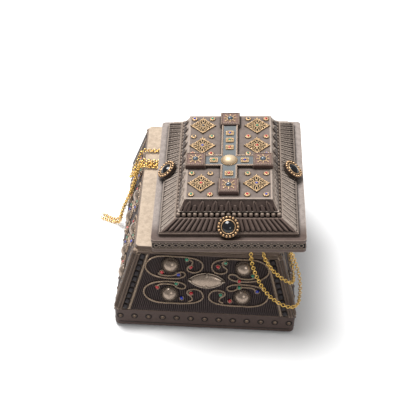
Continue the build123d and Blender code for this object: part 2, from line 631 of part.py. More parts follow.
# ================================================================= chains
# Each chain comes up out of the cavity, over the rim and hangs down outside. Points of its middle line.
CHAINS = {
    "chain_front": [
        (2, -38, 9.4), (12, -44, 9.4), (21, -47.2, 11.5), (24.6, -47.9, 20), (25.0, -48.1, 34), (24.8, -47.8, 48),
        (25.3, -48.0, 57), (25.6, -48.0, 64.6), (26.3, -55.5, 62.95), (26.8, -63.6, 64.3), (27.6, -65.2, 57.5),
        (29.4, -67.0, 51), (32.8, -69.4, 43.8), (37.0, -71.6, 37), (42.8, -73.6, 31.2), (49.0, -75.0, 27.6),
        (55.6, -75.8, 26), (60.2, -71.5, 25), (61.2, -64, 24.6), (61.8, -56.5, 25.4), (61.2, -49.5, 29.4),
        (58.2, -45.3, 35.9), (55.0, -43.0, 44), (52.6, -41.6, 52.4), (51.0, -41.0, 59), (48.4, -40.6, 64.5),
        (40.5, -40.4, 62.95), (32.4, -40.2, 64.7), (32.6, -40.0, 57), (32.4, -39.8, 48), (32.6, -39.5, 34),
        (31.7, -38.0, 20), (29.0, -33.5, 11.5), (21.0, -27, 9.4), (12.0, -22, 9.4),
    ],
    "chain_corner": [
        (6, -33, 9.4), (16, -39.5, 9.4), (25.5, -44.3, 11.5), (29.6, -46.3, 20), (29.4, -46.5, 34), (29.7, -46.2, 48),
        (29.6, -46.6, 57), (30.2, -47.9, 64.7), (32.4, -55.5, 62.95), (34.4, -63.6, 64.3), (36.2, -65.3, 58.2),
        (40.2, -67.0, 52.6), (45.2, -68.6, 47.8), (50.6, -69.8, 44.2), (55.2, -68.6, 41.2), (56.2, -62, 39.8),
        (55.8, -55.5, 39.8), (54.8, -50, 42.8), (53.2, -47.3, 49), (51.2, -46.2, 56.5), (48.4, -45.8, 64.4),
        (40.5, -45.6, 62.95), (32.4, -45.0, 64.7), (32.6, -44.6, 57), (32.4, -44.9, 48), (32.6, -44.5, 34),
        (32.2, -43.6, 20), (29.0, -39.8, 11.5), (20.0, -34.5, 9.4), (10.5, -29.5, 9.4),
    ],
    "chain_left_front": [
        (-14, 5, 9.4), (-23, 10.5, 9.4), (-30.0, 15.2, 11.5), (-32.3, 17.2, 20), (-32.6, 17.3, 34), (-32.3, 17.1, 48),
        (-32.6, 17.3, 57), (-32.4, 17.2, 63.7), (-41, 17.3, 62.95), (-48.4, 17.2, 64.2), (-50.9, 17.0, 57),
        (-52.3, 17.2, 49.5), (-53.9, 17.6, 42.5), (-56.0, 18.2, 34.5), (-58.4, 18.9, 27), (-61.2, 19.4, 19),
        (-63.2, 19.8, 11.5), (-64.2, 20.6, 4.6), (-68.0, 22.6, 1.4), (-73.2, 24.8, 1.4), (-78.2, 27.0, 1.4),
    ],
    "chain_left_back": [
        (-12, 14, 9.4), (-21, 18, 9.4), (-29.6, 19.6, 11.5), (-32.3, 20.1, 20), (-32.6, 20.3, 34), (-32.3, 20.0, 48),
        (-32.6, 20.2, 57), (-32.4, 20.1, 63.7), (-41, 20.2, 62.95), (-48.4, 20.1, 64.2), (-51.1, 20.0, 57),
        (-52.6, 20.2, 49.5), (-54.2, 20.6, 42.5), (-56.3, 21.2, 34.5), (-58.7, 21.9, 27), (-61.5, 22.4, 19),
        (-63.6, 22.9, 11.5), (-64.8, 23.8, 4.6), (-68.6, 25.9, 1.4), (-73.2, 28.4, 1.4), (-77.4, 30.9, 1.4),
    ],
    "chain_left_loop": [
        (-12, 26, 9.4), (-21, 28.5, 9.4), (-29.6, 31, 11.5), (-32.3, 32.2, 20), (-32.6, 31.9, 34), (-32.3, 32.2, 48),
        (-32.6, 32.0, 57), (-32.4, 32.0, 63.7), (-41, 31.6, 62.95), (-48.6, 31.0, 64.2), (-51.0, 28.6, 58.4),
        (-53.6, 25.6, 52.2), (-56.4, 21.6, 48.6), (-56.0, 16.6, 50.6), (-52.6, 14.2, 57.0), (-48.6, 14.2, 64.2),
        (-41, 14.3, 62.95), (-32.4, 14.2, 63.7), (-32.6, 14.0, 57), (-32.3, 13.7, 48), (-32.6, 13.2, 34),
        (-32.0, 11.6, 20), (-29.0, 7.0, 11.5), (-21.0, 1.5, 9.4), (-12.5, -3.0, 9.4),
    ],
}
ARC_SHARE = 0.45  # share of the shorter run that each arc takes up


def corner_radii(points):
    """Radius of the arc at each inner point of a route."""
    radii = []
    for before, here, after in zip(points, points[1:], points[2:]):
        run_in, run_out = Vector(*here) - Vector(*before), Vector(*after) - Vector(*here)
        half_turn = radians(run_in.get_angle(run_out)) / 2
        radii.append(ARC_SHARE * min(run_in.length, run_out.length) / tan(half_turn))
    return radii


for name, points in CHAINS.items():
    radii = corner_radii(points)
    with BuildPart() as chain:
        with BuildLine() as route:
            FilletPolyline(*points, radius=radii)
        with BuildSketch(Plane(route.line @ 0, z_dir=route.line % 0)):
            Circle(CHAIN_DIAMETER / 2)
        sweep()
    chain.part.label = name
    export_step(chain.part, f"parts/{name}.step")
    length = route.wire().length
    section = pi * CHAIN_DIAMETER**2 / 4
    print(f"{name}: length {length:.1f}, tightest radius {min(radii):.1f}")
    print(f"  volume {chain.part.volume:.1f}, section times length {section * length:.1f}")
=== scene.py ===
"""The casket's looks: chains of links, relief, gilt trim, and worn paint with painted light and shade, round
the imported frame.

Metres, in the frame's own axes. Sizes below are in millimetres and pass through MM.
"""

from math import atan2, cos, hypot, pi, radians, sin

import bpy
import numpy as np
from mathutils import Matrix, Vector


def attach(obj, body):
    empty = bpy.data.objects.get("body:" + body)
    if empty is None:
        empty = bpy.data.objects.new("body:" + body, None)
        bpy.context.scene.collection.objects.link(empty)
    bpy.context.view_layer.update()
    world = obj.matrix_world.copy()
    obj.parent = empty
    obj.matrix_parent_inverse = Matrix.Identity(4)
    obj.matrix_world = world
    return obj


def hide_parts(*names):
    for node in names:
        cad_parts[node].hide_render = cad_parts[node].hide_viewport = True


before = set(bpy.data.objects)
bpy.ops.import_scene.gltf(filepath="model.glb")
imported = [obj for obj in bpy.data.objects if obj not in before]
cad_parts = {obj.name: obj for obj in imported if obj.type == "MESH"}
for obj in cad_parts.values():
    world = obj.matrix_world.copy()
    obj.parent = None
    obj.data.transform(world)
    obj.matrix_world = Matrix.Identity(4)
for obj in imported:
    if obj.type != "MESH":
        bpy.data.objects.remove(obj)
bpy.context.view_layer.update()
scene = bpy.context.scene
random = np.random.default_rng(7)
MM = 0.001

# ---------------- sizes that the relief is laid out on
# FOOT and NECK are the body's half widths at the foot and at the neck, UP and ROW heights run up a face.
FOOT_X, FOOT_Y, FOOT_Z = 57.8, 73.8, 16.0
NECK_X, NECK_Y, NECK_Z = 45.4, 60.9, 58.5
BASE_X, BASE_Y = 118.0, 150.0
RIVETS_FRONT, RIVETS_SIDE, RIVET_PITCH, RIVET_Z, GROOVE_Z = 13, 16, 9.2, 10.2, 4.6
STRAP_WIDTH, STRAP_THICK, STRAP_GAP = 8.7, 1.8, 0.4
CHANNEL_LOW, CHANNEL_HIGH, CHANNEL_FLOOR = 2.1, 5.6, 1.1  # across a strap, from its inner edge
STRAP_SEAT = 0.9  # height of a strap's flat edges
STRAP_BEADS = 10
CORNICE_HEIGHT = 3.0
PANEL_THICK, PANEL_GAP = 1.0, 0.05
LOW_ROW, HIGH_ROW, END_COLUMN = 13.0, 34.0, 23.5
SIDE_COLUMNS, SIDE_OUTER_COLUMN = (-33.0, 0.0, 33.0), 52.5
NAVETTE_HALF_LONG, NAVETTE_HALF_WIDE, NAVETTE_UP = 11.6, 5.3, 24.2
LID_SHIFT_X, LID_SHIFT_Y, LID_TILT = 12.8, -10.2, 3.6
LID_X, LID_Y, LID_EDGE_GAP, RIM_TOP = 48.2, 59.7, 3.5, 61.5
FRIEZE_LOW, FRIEZE_HIGH, FRIEZE_DEPTH, FRIEZE_PITCH, FRIEZE_END = 2.5, 7.6, 0.75, 4.0, 1.2
STEP_TOP, COVE_X, COVE_Y = 12.2, 41.0, 53.6
LEDGE_X, LEDGE_Y, LEDGE_Z = 33.2, 48.2, 18.0
PEARL_X, PEARL_Y, PEARL_RADIUS, PEARLS_X, PEARLS_Y = 31.2, 46.4, 1.6, 18, 27
CROWN_FOOT_X, CROWN_FOOT_Y, CROWN_FOOT_Z = 30.7, 45.6, 21.2
CROWN_TOP_X, CROWN_TOP_Y, CROWN_TOP = 26.9, 41.6, 28.6
MEDAL_X, MEDAL_Y, MEDAL_Z, MEDAL_THICK = 40.6, 53.3, 15.5, 2.0
CROSS_Y, ARM_HALF_WIDTH, ARM_THICK = -7.3, 5.3, 2.0
END_SIZE, END_THICK, END_X, END_BACK, END_FRONT = 12.8, 3.2, 21.6, 35.1, -32.4
CENTRE_RADIUS = 4.6
LOZENGE_HALF = 8.4
SIDES = ("front", "back", "left", "right")
SQUARE = [(-1, -1), (1, -1), (1, 1), (-1, 1)]  # signs of a rectangle's corners, front edge first


# ---------------- local frames, as 4x4 arrays in millimetres
def local_frame(origin, x_dir, z_dir):
    """Matrix of a plane: its origin, its X, and its Z, which points out of the surface."""
    x, z = np.array(x_dir, float), np.array(z_dir, float)
    matrix = np.eye(4)
    matrix[:3, 0], matrix[:3, 1], matrix[:3, 2], matrix[:3, 3] = x, np.cross(z, x), z, origin
    return matrix


def raised(matrix, height):
    """The same plane, moved along its own normal."""
    up = np.eye(4)
    up[2, 3] = height
    return matrix @ up


def at(matrix, x, y, z=0.0, turn=0.0):
    """A frame at a point of another frame, turned about its normal."""
    shift = np.eye(4)
    shift[:3, 3] = x, y, z
    shift[0, 0], shift[0, 1], shift[1, 0], shift[1, 1] = cos(turn), -sin(turn), sin(turn), cos(turn)
    return matrix @ shift


def face_frame(side):
    """The sloping face of the body: X along its foot, Y up the slope, Z outwards."""
    lean_y = atan2(FOOT_Y - NECK_Y, NECK_Z - FOOT_Z)
    lean_x = atan2(FOOT_X - NECK_X, NECK_Z - FOOT_Z)
    if side == "front":
        return local_frame((0, -FOOT_Y, FOOT_Z), (1, 0, 0), (0, -cos(lean_y), sin(lean_y)))
    if side == "back":
        return local_frame((0, FOOT_Y, FOOT_Z), (-1, 0, 0), (0, cos(lean_y), sin(lean_y)))
    if side == "right":
        return local_frame((FOOT_X, 0, FOOT_Z), (0, 1, 0), (cos(lean_x), 0, sin(lean_x)))
    return local_frame((-FOOT_X, 0, FOOT_Z), (0, -1, 0), (-cos(lean_x), 0, sin(lean_x)))


def face_size(side):
    """Half width at the foot, half width at the neck, and length up the slope."""
    if side in ("front", "back"):
        return FOOT_X, NECK_X, hypot(NECK_Z - FOOT_Z, FOOT_Y - NECK_Y)
    return FOOT_Y, NECK_Y, hypot(NECK_Z - FOOT_Z, FOOT_X - NECK_X)


def half_width(side, up):
    """Half width of a face, that far up its slope."""
    foot, neck, slope = face_size(side)
    return foot + (neck - foot) * up / slope


FACE = {side: face_frame(side) for side in SIDES}
TILT = radians(LID_TILT)
LID = local_frame(
    (LID_SHIFT_X, LID_SHIFT_Y, RIM_TOP + LID_EDGE_GAP + LID_X * sin(TILT)),
    (cos(TILT), 0, sin(TILT)),
    (-sin(TILT), 0, cos(TILT)),
)
CROWN = raised(LID, CROWN_TOP)


# ---------------- shapes
SHARP_ANGLE = 45  # degrees between two faces, above which their edge stays crisp


class Shape:
    """Vertices and faces gathered from many small closed forms, in millimetres until the piece is made."""

    def __init__(self):
        self.verts, self.faces, self.count = [], [], 0

    def add(self, form, matrix=None):
        """One more form, (points, faces), put in place by a frame."""
        verts, faces = form
        verts = np.asarray(verts, float)
        if matrix is not None:
            verts = verts @ matrix[:3, :3].T + matrix[:3, 3]
        self.verts.append(verts)
        self.faces += [[index + self.count for index in face] for face in faces]
        self.count += len(verts)
        return self

    def piece(self, name, body, material, replaced, slot):
        """The finished object, riding on its body in place of the CAD nodes that it replaces."""
        mesh = bpy.data.meshes.new(name)
        mesh.from_pydata((np.vstack(self.verts) * MM).tolist(), [], self.faces)
        mesh.validate()
        mesh.polygons.foreach_set("use_smooth", [True] * len(mesh.polygons))
        mesh.materials.append(material)
        made = bpy.data.objects.new(name, mesh)
        scene.collection.objects.link(made)
        mesh.set_sharp_from_angle(angle=radians(SHARP_ANGLE))
        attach(made, body)
        if replaced:
            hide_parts(*replaced)
        return made


def loft(rows, closed=False):
    """A skin through equal loops of points: open, with its two ends capped, or closed on itself."""
    rows = [np.asarray(row, float) for row in rows]
    size, count = len(rows[0]), len(rows)
    faces = []
    for i in range(count if closed else count - 1):
        a, b = i * size, (i + 1) % count * size
        faces += [(a + j, a + (j + 1) % size, b + (j + 1) % size, b + j) for j in range(size)]
    if not closed:
        faces += [tuple(range(size - 1, -1, -1)), tuple((count - 1) * size + j for j in range(size))]
    return np.vstack(rows), faces


def ball(radius, segments=10, rings=6, flat=1.0):
    """A sphere, or a flattened one."""
    verts, faces = [(0, 0, radius * flat)], []
    for i in range(1, rings):
        out, level = radius * sin(pi * i / rings), radius * cos(pi * i / rings) * flat
        for j in range(segments):
            around = 2 * pi * j / segments
            verts.append((out * cos(around), out * sin(around), level))
    verts.append((0, 0, -radius * flat))
    for j in range(segments):
        k = (j + 1) % segments
        faces.append((0, 1 + j, 1 + k))
        for first in range(1, 1 + (rings - 2) * segments, segments):
            second = first + segments
            faces.append((first + j, second + j, second + k, first + k))
        last = 1 + (rings - 2) * segments
        faces.append((last + j, len(verts) - 1, last + k))
    return np.array(verts), faces


def ring(major, minor, around=20, section=8, stretch=1.0):
    """A torus about Z, stretched along X for an oval link."""
    rows = []
    for i in range(around):
        angle = 2 * pi * i / around
        rows.append([
            ((major + minor * cos(2 * pi * j / section)) * cos(angle) * stretch,
             (major + minor * cos(2 * pi * j / section)) * sin(angle), minor * sin(2 * pi * j / section))
            for j in range(section)
        ])
    return loft(rows, closed=True)


def carried_frames(path, closed=False):
    """Tangent, side and up at each point of a path, turning as little as they can."""
    path = np.asarray(path, float)
    step = np.roll(path, -1, 0) - np.roll(path, 1, 0) if closed else np.gradient(path, axis=0)
    tangents = step / np.linalg.norm(step, axis=1)[:, None]
    side = np.cross(tangents[0], (0, 0, 1) if abs(tangents[0][2]) < 0.9 else (1, 0, 0))
    frames = []
    for tangent in tangents:
        side = side - tangent * side.dot(tangent)
        side = side / np.linalg.norm(side)
        frames.append((tangent, side, np.cross(tangent, side)))
    return frames


def tube(path, radius, section=6, closed=False):
    """A round wire along a path."""
    rows = []
    for point, (_, side, up) in zip(path, carried_frames(path, closed)):
        rows.append([
            point + radius * (cos(2 * pi * j / section) * side + sin(2 * pi * j / section) * up)
            for j in range(section)
        ])
    return loft(rows, closed)


STEPS_PER_TWIST = 7
STRAND_OUT, STRAND_RADIUS = 0.6, 0.5  # shares of a rope's radius


def evenly(path, pitch):
    """Points of a path, spaced evenly along it."""
    path = np.asarray(path, float)
    along = np.r_[0, np.cumsum(np.linalg.norm(np.diff(path, axis=0), axis=1))]
    places = np.linspace(0, along[-1], max(int(round(along[-1] / pitch)), 2) + 1)
    return np.stack([np.interp(places, along, path[:, axis]) for axis in range(3)], 1)


def rope(path, radius, pitch):
    """Two wires twisted about a path, as two forms."""
    fine = evenly(path, pitch / STEPS_PER_TWIST)
    frames = carried_frames(fine)
    length = np.linalg.norm(np.diff(fine, axis=0), axis=1).sum()
    turns = max(round(length / pitch), 1)
    forms = []
    for strand in (0, pi):
        angles = strand + 2 * pi * turns * np.arange(len(fine)) / len(fine)
        twisted = [
            point + STRAND_OUT * radius * (cos(angle) * side + sin(angle) * up)
            for point, angle, (_, side, up) in zip(fine, angles, frames)
        ]
        forms.append(tube(twisted, radius * STRAND_RADIUS, 5))
    return forms


def oval(half_x, half_y, along, height, count=47):
    """Points round an oval whose centre lies along X."""
    angles = np.linspace(0, 2 * pi, count + 1)[:-1]
    return np.stack([along + half_x * np.cos(angles), half_y * np.sin(angles), np.full(count, height)], 1)


def pairs_round(points):
    """Each point with the next one, and the last with the first."""
    return list(zip(points, points[1:] + points[:1]))


def square_edges(x, y, z=0.0):
    """The four edges of a rectangle with these half widths, at one height, front one first."""
    return pairs_round([(across * x, deep * y, z) for across, deep in SQUARE])


def grid_faces(columns, rows):
    """Faces of a grid of points that are numbered row by row."""
    size = columns + 1
    corners = [j * size + i for j in range(rows) for i in range(columns)]
    return [(a, a + 1, a + size + 1, a + size) for a in corners]


def grid_border(columns, rows):
    """Numbers of the points round such a grid, in order."""
    size = columns + 1
    border = list(range(size)) + [j * size + columns for j in range(1, rows + 1)]
    border += [rows * size + i for i in range(columns - 1, -1, -1)]
    return border + [j * size for j in range(rows - 1, 0, -1)]


def relief(corners, height, columns, rows, depth=0.6):
    """A closed plate over a four-sided slope, its face raised by height(s, t) along the normal.

    corners are low left, low right, high left and high right; s and t run from 0 to 1, across and up.
    """
    low_left, low_right, high_left, high_right = (np.array(corner, float) for corner in corners)
    normal = np.cross(low_right - low_left, high_left - low_left)
    normal = normal / np.linalg.norm(normal)
    verts = []
    for is_face in (True, False):
        for j in range(rows + 1):
            t = j / rows
            left, right = low_left + (high_left - low_left) * t, low_right + (high_right - low_right) * t
            for i in range(columns + 1):
                s = i / columns
                lift = height(s, t) if is_face else -depth
                verts.append(left + (right - left) * s + normal * lift)
    total = (columns + 1) * (rows + 1)
    faces = []
    for face in grid_faces(columns, rows):
        faces += [face, tuple(total + corner for corner in reversed(face))]
    faces += [(a, total + a, total + b, b) for a, b in pairs_round(grid_border(columns, rows))]
    return np.array(verts), faces


def pillow(half_x, half_y, height, count=8):
    """A squarish bead with rounded shoulders and a flat back."""
    squareness = 4
    lines = np.sin(np.linspace(-pi / 2, pi / 2, count + 1))
    verts = []
    for y in lines:
        for x in lines:
            swell = max(1 - abs(x) ** squareness, 0) * max(1 - abs(y) ** squareness, 0)
            verts.append((half_x * x, half_y * y, height * swell ** 0.5))
    return np.array(verts), grid_faces(count, count) + [tuple(reversed(grid_border(count, count)))]


def disc(radius, thick, count=32):
    """A low round plate with a softened upper edge, on its own plane."""
    soft = 0.25
    profile = [
        (radius, 0), (radius, thick - soft), (radius - soft * 0.3, thick - soft * 0.3), (radius - soft, thick)
    ]
    angles = [2 * pi * j / count for j in range(count)]
    return loft([[(r * cos(angle), r * sin(angle), z) for angle in angles] for r, z in profile])


def beads_round(shape, matrix, radius, bead, count, z=0.0, segments=8, rings=5):
    """A ring of small beads on a plane."""
    for number in range(count):
        angle = 2 * pi * number / count
        shape.add(ball(bead, segments, rings), at(matrix, radius * cos(angle), radius * sin(angle), z))


def beads_along(shape, matrix, start, end, bead, pitch, z=0.0):
    """A row of small beads between two points of a plane."""
    count = max(int(round(hypot(end[0] - start[0], end[1] - start[1]) / pitch)), 1)
    for number in range(count + 1):
        share = number / count
        x, y = start[0] + (end[0] - start[0]) * share, start[1] + (end[1] - start[1]) * share
        shape.add(ball(bead, 7, 5), at(matrix, x, y, z))


# ---------------- materials
MOTTLING, SPECKLE, GLOSS_PATCHES, CAST_GRAIN = 320.0, 1700.0, 900.0, 2600.0  # cycles per metre


def new_material(name):
    """A material that uses nodes, its node tree and its shader."""
    material = bpy.data.materials.new(name)
    material.use_nodes = True
    return material, material.node_tree, material.node_tree.nodes["Principled BSDF"]


def link(tree, source, target):
    tree.links.new(source, target)


def mix_colour(tree, factor, first, second):
    """A colour mix node: factor, first and second are sockets or constant values."""
    node = tree.nodes.new("ShaderNodeMix")
    node.data_type = "RGBA"
    for socket, value in ((node.inputs[0], factor), (node.inputs[6], first), (node.inputs[7], second)):
        if isinstance(value, bpy.types.NodeSocket):
            link(tree, value, socket)
        else:
            socket.default_value = (*value, 1.0) if isinstance(value, tuple) else value
    return node.outputs[2]


def noise(tree, scale, detail=4.0, roughness=0.55):
    """Noise over the object, scale in cycles per metre."""
    place = tree.nodes.new("ShaderNodeTexCoord")
    node = tree.nodes.new("ShaderNodeTexNoise")
    node.inputs["Scale"].default_value = scale
    node.inputs["Detail"].default_value = detail
    node.inputs["Roughness"].default_value = roughness
    link(tree, place.outputs["Object"], node.inputs["Vector"])
    return node.outputs["Fac"]


def ramp(tree, value, low, high, start=0.0, end=1.0):
    """value from low..high to start..end, smoothly."""
    node = tree.nodes.new("ShaderNodeMapRange")
    node.interpolation_type = "SMOOTHSTEP"
    for name, number in (("From Min", low), ("From Max", high), ("To Min", start), ("To Max", end)):
        node.inputs[name].default_value = number
    link(tree, value, node.inputs["Value"])
    return node.outputs["Result"]


def shelter(tree, distance, inside=False):
    """How open a spot is: 1 on open ground, less in a crevice, or less beside a sharp edge when inside."""
    node = tree.nodes.new("ShaderNodeAmbientOcclusion")
    node.samples = 6
    node.inside = node.only_local = inside
    node.inputs["Distance"].default_value = distance * MM
    return node.outputs["AO"]


def upward(tree, low, high):
    """1 where the surface faces up, 0 where it stands upright: the mask of the paler top colours, partly
    painted light from above, and of the flat colour's painted shade.
    """
    place = tree.nodes.new("ShaderNodeTexCoord")
    split = tree.nodes.new("ShaderNodeSeparateXYZ")
    link(tree, place.outputs["Normal"], split.inputs["Vector"])
    return ramp(tree, split.outputs["Z"], low, high)


def front_shade_mask(tree, near, far):
    """Mask of the painted shade on the lid's front border: 1 at the front edge of the lid, 0 further back;
    near and far are places along Y, in millimetres.
    """
    place = tree.nodes.new("ShaderNodeTexCoord")
    split = tree.nodes.new("ShaderNodeSeparateXYZ")
    link(tree, place.outputs["Object"], split.inputs["Vector"])
    return ramp(tree, split.outputs["Y"], near * MM, far * MM, 1.0, 0.0)


def paint_wear_and_painted_light(name, base, wash, edge, roughness=0.4, metallic=0.0, crevice=2.2, bump=0.35, edge_width=0.5,
               top=None, front=None, flat=None, crest=(0.55, 0.92)):
    """Cast resin, painted: a mottled base colour, a dark wash left in the hollows, and rubbed edges.

    top is the colour of faces that look up, as steeply as crest says, partly dry-brushed paint and partly
    painted light from above; front is that of the lid's front border, painted shade, and flat that of level
    ground, painted shade.
    crevice and edge_width are how far the wash and the rubbing reach.
    """
    material, tree, shader = new_material(name)
    shader.inputs["Metallic"].default_value = metallic
    shader.inputs["Specular IOR Level"].default_value = 0.16
    main = base
    if top:
        # top: faces that look up are paler, partly dry-brushed paint and partly painted light from above
        main = mix_colour(tree, upward(tree, *crest), base, top)
        if front:
            # painted shade: the lid's border darker towards its front edge
            main = mix_colour(tree, front_shade_mask(tree, *SHADED_FRONT_BORDER), main, front)
        if flat:
            # flat: level faces darker, painted shade
            main = mix_colour(tree, upward(tree, 0.95, 0.99), main, flat)
    mottling = ramp(tree, noise(tree, MOTTLING, 6.0, 0.65), 0.38, 0.66, 0.0, 0.26)
    half_washed = tuple(0.5 * (a + b) for a, b in zip(base, wash))
    mottled = mix_colour(tree, mottling, main, half_washed)
    speckle = ramp(tree, noise(tree, SPECKLE, 3.0), 0.54, 0.74, 0.0, 0.4)
    speckled = mix_colour(tree, speckle, mottled, wash)
    washed = mix_colour(tree, ramp(tree, shelter(tree, crevice), 0.45, 0.97), wash, speckled)
    rubbing = ramp(tree, shelter(tree, edge_width, inside=True), 0.40, 0.90, 0.85, 0.0)
    link(tree, mix_colour(tree, rubbing, washed, edge), shader.inputs["Base Color"])
    gloss = ramp(tree, noise(tree, GLOSS_PATCHES, 3.0), 0.3, 0.7, roughness - 0.1, roughness + 0.12)
    link(tree, gloss, shader.inputs["Roughness"])
    bumps = tree.nodes.new("ShaderNodeBump")
    bumps.inputs["Strength"].default_value = bump
    bumps.inputs["Distance"].default_value = 0.12 * MM
    link(tree, noise(tree, CAST_GRAIN, 3.0), bumps.inputs["Height"])
    link(tree, bumps.outputs["Normal"], shader.inputs["Normal"])
    return material


def glossy(name, base, roughness=0.08, coat=0.6):
    """Polished glass, enamel or cabochon, with faint cloudiness."""
    material, tree, shader = new_material(name)
    shader.inputs["Coat Weight"].default_value = coat
    shader.inputs["Coat Roughness"].default_value = 0.04
    darker = tuple(0.7 * channel for channel in base)
    cloudy = mix_colour(tree, ramp(tree, noise(tree, 700.0, 3.0), 0.3, 0.7), darker, base)
    link(tree, cloudy, shader.inputs["Base Color"])
    gloss = ramp(tree, noise(tree, 1200.0, 2.0), 0.3, 0.7, roughness, roughness + 0.1)
    link(tree, gloss, shader.inputs["Roughness"])
    return material


def plated(name, base, tarnish_and_shade, roughness):
    """Bright plated metal, toned with a little tarnish, and darkened in its joints with painted shade and
    painted dark reflection.
    """
    material, tree, shader = new_material(name)
    shader.inputs["Metallic"].default_value = 1.0
    toned = mix_colour(tree, ramp(tree, noise(tree, 420.0, 3.0), 0.42, 0.72, 0.0, 0.45), base, tarnish_and_shade)
    # painted shade and painted dark reflection in the joints between the links
    hollow = mix_colour(tree, ramp(tree, shelter(tree, 1.0), 0.2, 0.75), tarnish_and_shade, toned)
    link(tree, hollow, shader.inputs["Base Color"])
    gloss = ramp(tree, noise(tree, 1800.0, 2.0), 0.3, 0.7, roughness, roughness + 0.16)
    link(tree, gloss, shader.inputs["Roughness"])
    return material


# The lid's border is darker at its front: painted shade.
SHADED_FRONT_BORDER = (-66.0, -50.0)  # along Y, where the lid's border turns from dark to pale
# The top colours below are partly dry-brushed paint and partly painted light from above.
RESIN_PLINTH = paint_wear_and_painted_light(
    "resin_plinth", base=(0.074, 0.049, 0.042), wash=(0.016, 0.011, 0.010), edge=(0.27, 0.19, 0.14),
    top=(0.20, 0.145, 0.115)
)
RESIN_STRAP = paint_wear_and_painted_light(
    "resin_strap", base=(0.105, 0.072, 0.055), wash=(0.014, 0.010, 0.009), edge=(0.44, 0.33, 0.24),
    top=(0.30, 0.225, 0.17), crevice=1.4
)
PANEL_DARK = paint_wear_and_painted_light(
    "panel_dark", base=(0.060, 0.043, 0.041), wash=(0.004, 0.003, 0.003), edge=(0.17, 0.13, 0.115),
    crevice=0.8, edge_width=0.3, roughness=0.42
)
RIM_CREAM = paint_wear_and_painted_light(
    "rim_cream", base=(0.095, 0.063, 0.047), wash=(0.09, 0.06, 0.045), edge=(0.62, 0.47, 0.34),
    top=(0.50, 0.40, 0.305), roughness=0.34
)
BEAD_DARK = paint_wear_and_painted_light(
    "bead_dark", base=(0.034, 0.029, 0.031), wash=(0.006, 0.005, 0.006), edge=(0.13, 0.11, 0.10),
    roughness=0.36
)
OLD_SILVER = paint_wear_and_painted_light(
    "old_silver", base=(0.34, 0.265, 0.21), wash=(0.035, 0.025, 0.02), edge=(0.62, 0.52, 0.42),
    roughness=0.27, metallic=0.8
)
DARK_BRONZE = paint_wear_and_painted_light(
    "dark_bronze", base=(0.042, 0.030, 0.025), wash=(0.008, 0.006, 0.005), edge=(0.22, 0.165, 0.125),
    top=(0.12, 0.085, 0.065), crevice=1.0, roughness=0.36, metallic=0.3
)
BRONZE = paint_wear_and_painted_light(
    "rubbed_bronze", base=(0.12, 0.080, 0.058), wash=(0.014, 0.010, 0.008), edge=(0.50, 0.38, 0.28),
    top=(0.42, 0.32, 0.235), crevice=1.0, roughness=0.34, metallic=0.3
)
WIRE_BRONZE = paint_wear_and_painted_light(
    "wire_bronze", base=(0.060, 0.040, 0.029), wash=(0.006, 0.004, 0.003), edge=(0.42, 0.31, 0.225),
    top=(0.50, 0.375, 0.27), crest=(0.60, 0.97), crevice=0.7, roughness=0.34, metallic=0.3
)
# front: the painted shade of the lid's front border
LID_RESIN = paint_wear_and_painted_light(
    "resin_lid", base=(0.048, 0.032, 0.028), wash=(0.012, 0.008, 0.007), edge=(0.42, 0.33, 0.26),
    top=(0.31, 0.265, 0.24), front=(0.110, 0.077, 0.065)
)
# flat: the crown's level faces darker, painted shade
LID_CARVED = paint_wear_and_painted_light(
    "lid_carved", base=(0.075, 0.053, 0.044), wash=(0.005, 0.0035, 0.003), edge=(0.40, 0.32, 0.265),
    top=(0.44, 0.365, 0.31), flat=(0.18, 0.143, 0.125), crest=(0.42, 0.74), crevice=1.8
)
# A darker copy of lid_carved for the lid's front slopes: painted shade.
FRONT_CARVED_SHADED = paint_wear_and_painted_light(
    "lid_carved_front_painted_shade", base=(0.080, 0.055, 0.046), wash=(0.005, 0.0035, 0.003), edge=(0.24, 0.175, 0.145),
    top=(0.135, 0.097, 0.081), crest=(0.62, 0.95), crevice=1.5
)
# Near black, painted shade: the frieze's ground, the rivet recesses, the groove under them and the gaps of
# the openwork lozenges.
RECESS_SHADE = paint_wear_and_painted_light(
    "recess_painted_shade", base=(0.008, 0.006, 0.005), wash=(0.003, 0.002, 0.002), edge=(0.05, 0.04, 0.035),
    roughness=0.6
)
FRIEZE_RING = paint_wear_and_painted_light(
    "frieze_ring", base=(0.150, 0.108, 0.090), wash=(0.003, 0.002, 0.002), edge=(0.30, 0.235, 0.19),
    top=(0.26, 0.20, 0.165), crevice=1.2
)
TAN_BEAD = paint_wear_and_painted_light(
    "tan_bead", base=(0.13, 0.093, 0.075), wash=(0.008, 0.006, 0.005), edge=(0.50, 0.39, 0.30),
    top=(0.40, 0.31, 0.245), crevice=1.4, roughness=0.38
)
GILT = paint_wear_and_painted_light(
    "accent_gold", base=(0.115, 0.066, 0.036), wash=(0.010, 0.006, 0.004), edge=(0.82, 0.58, 0.34),
    top=(0.78, 0.53, 0.295), crest=(0.62, 0.97), crevice=1.5, roughness=0.3, metallic=0.35
)
OPENWORK_GILT = paint_wear_and_painted_light(
    "openwork_gilt", base=(0.050, 0.031, 0.020), wash=(0.008, 0.005, 0.003), edge=(0.82, 0.58, 0.34),
    top=(0.80, 0.57, 0.34), crest=(0.80, 0.99), crevice=1.2, roughness=0.3, metallic=0.35
)
BEZEL_GOLD = paint_wear_and_painted_light(
    "bezel_gold", base=(0.40, 0.225, 0.105), wash=(0.014, 0.008, 0.005), edge=(0.85, 0.60, 0.36),
    top=(0.72, 0.47, 0.26), crevice=1.2, roughness=0.3, metallic=0.4
)
PALE_GILT = paint_wear_and_painted_light(
    "pale_gold", base=(0.46, 0.33, 0.20), wash=(0.06, 0.038, 0.022), edge=(0.88, 0.74, 0.54),
    top=(0.66, 0.52, 0.345), crevice=1.3, metallic=0.3
)
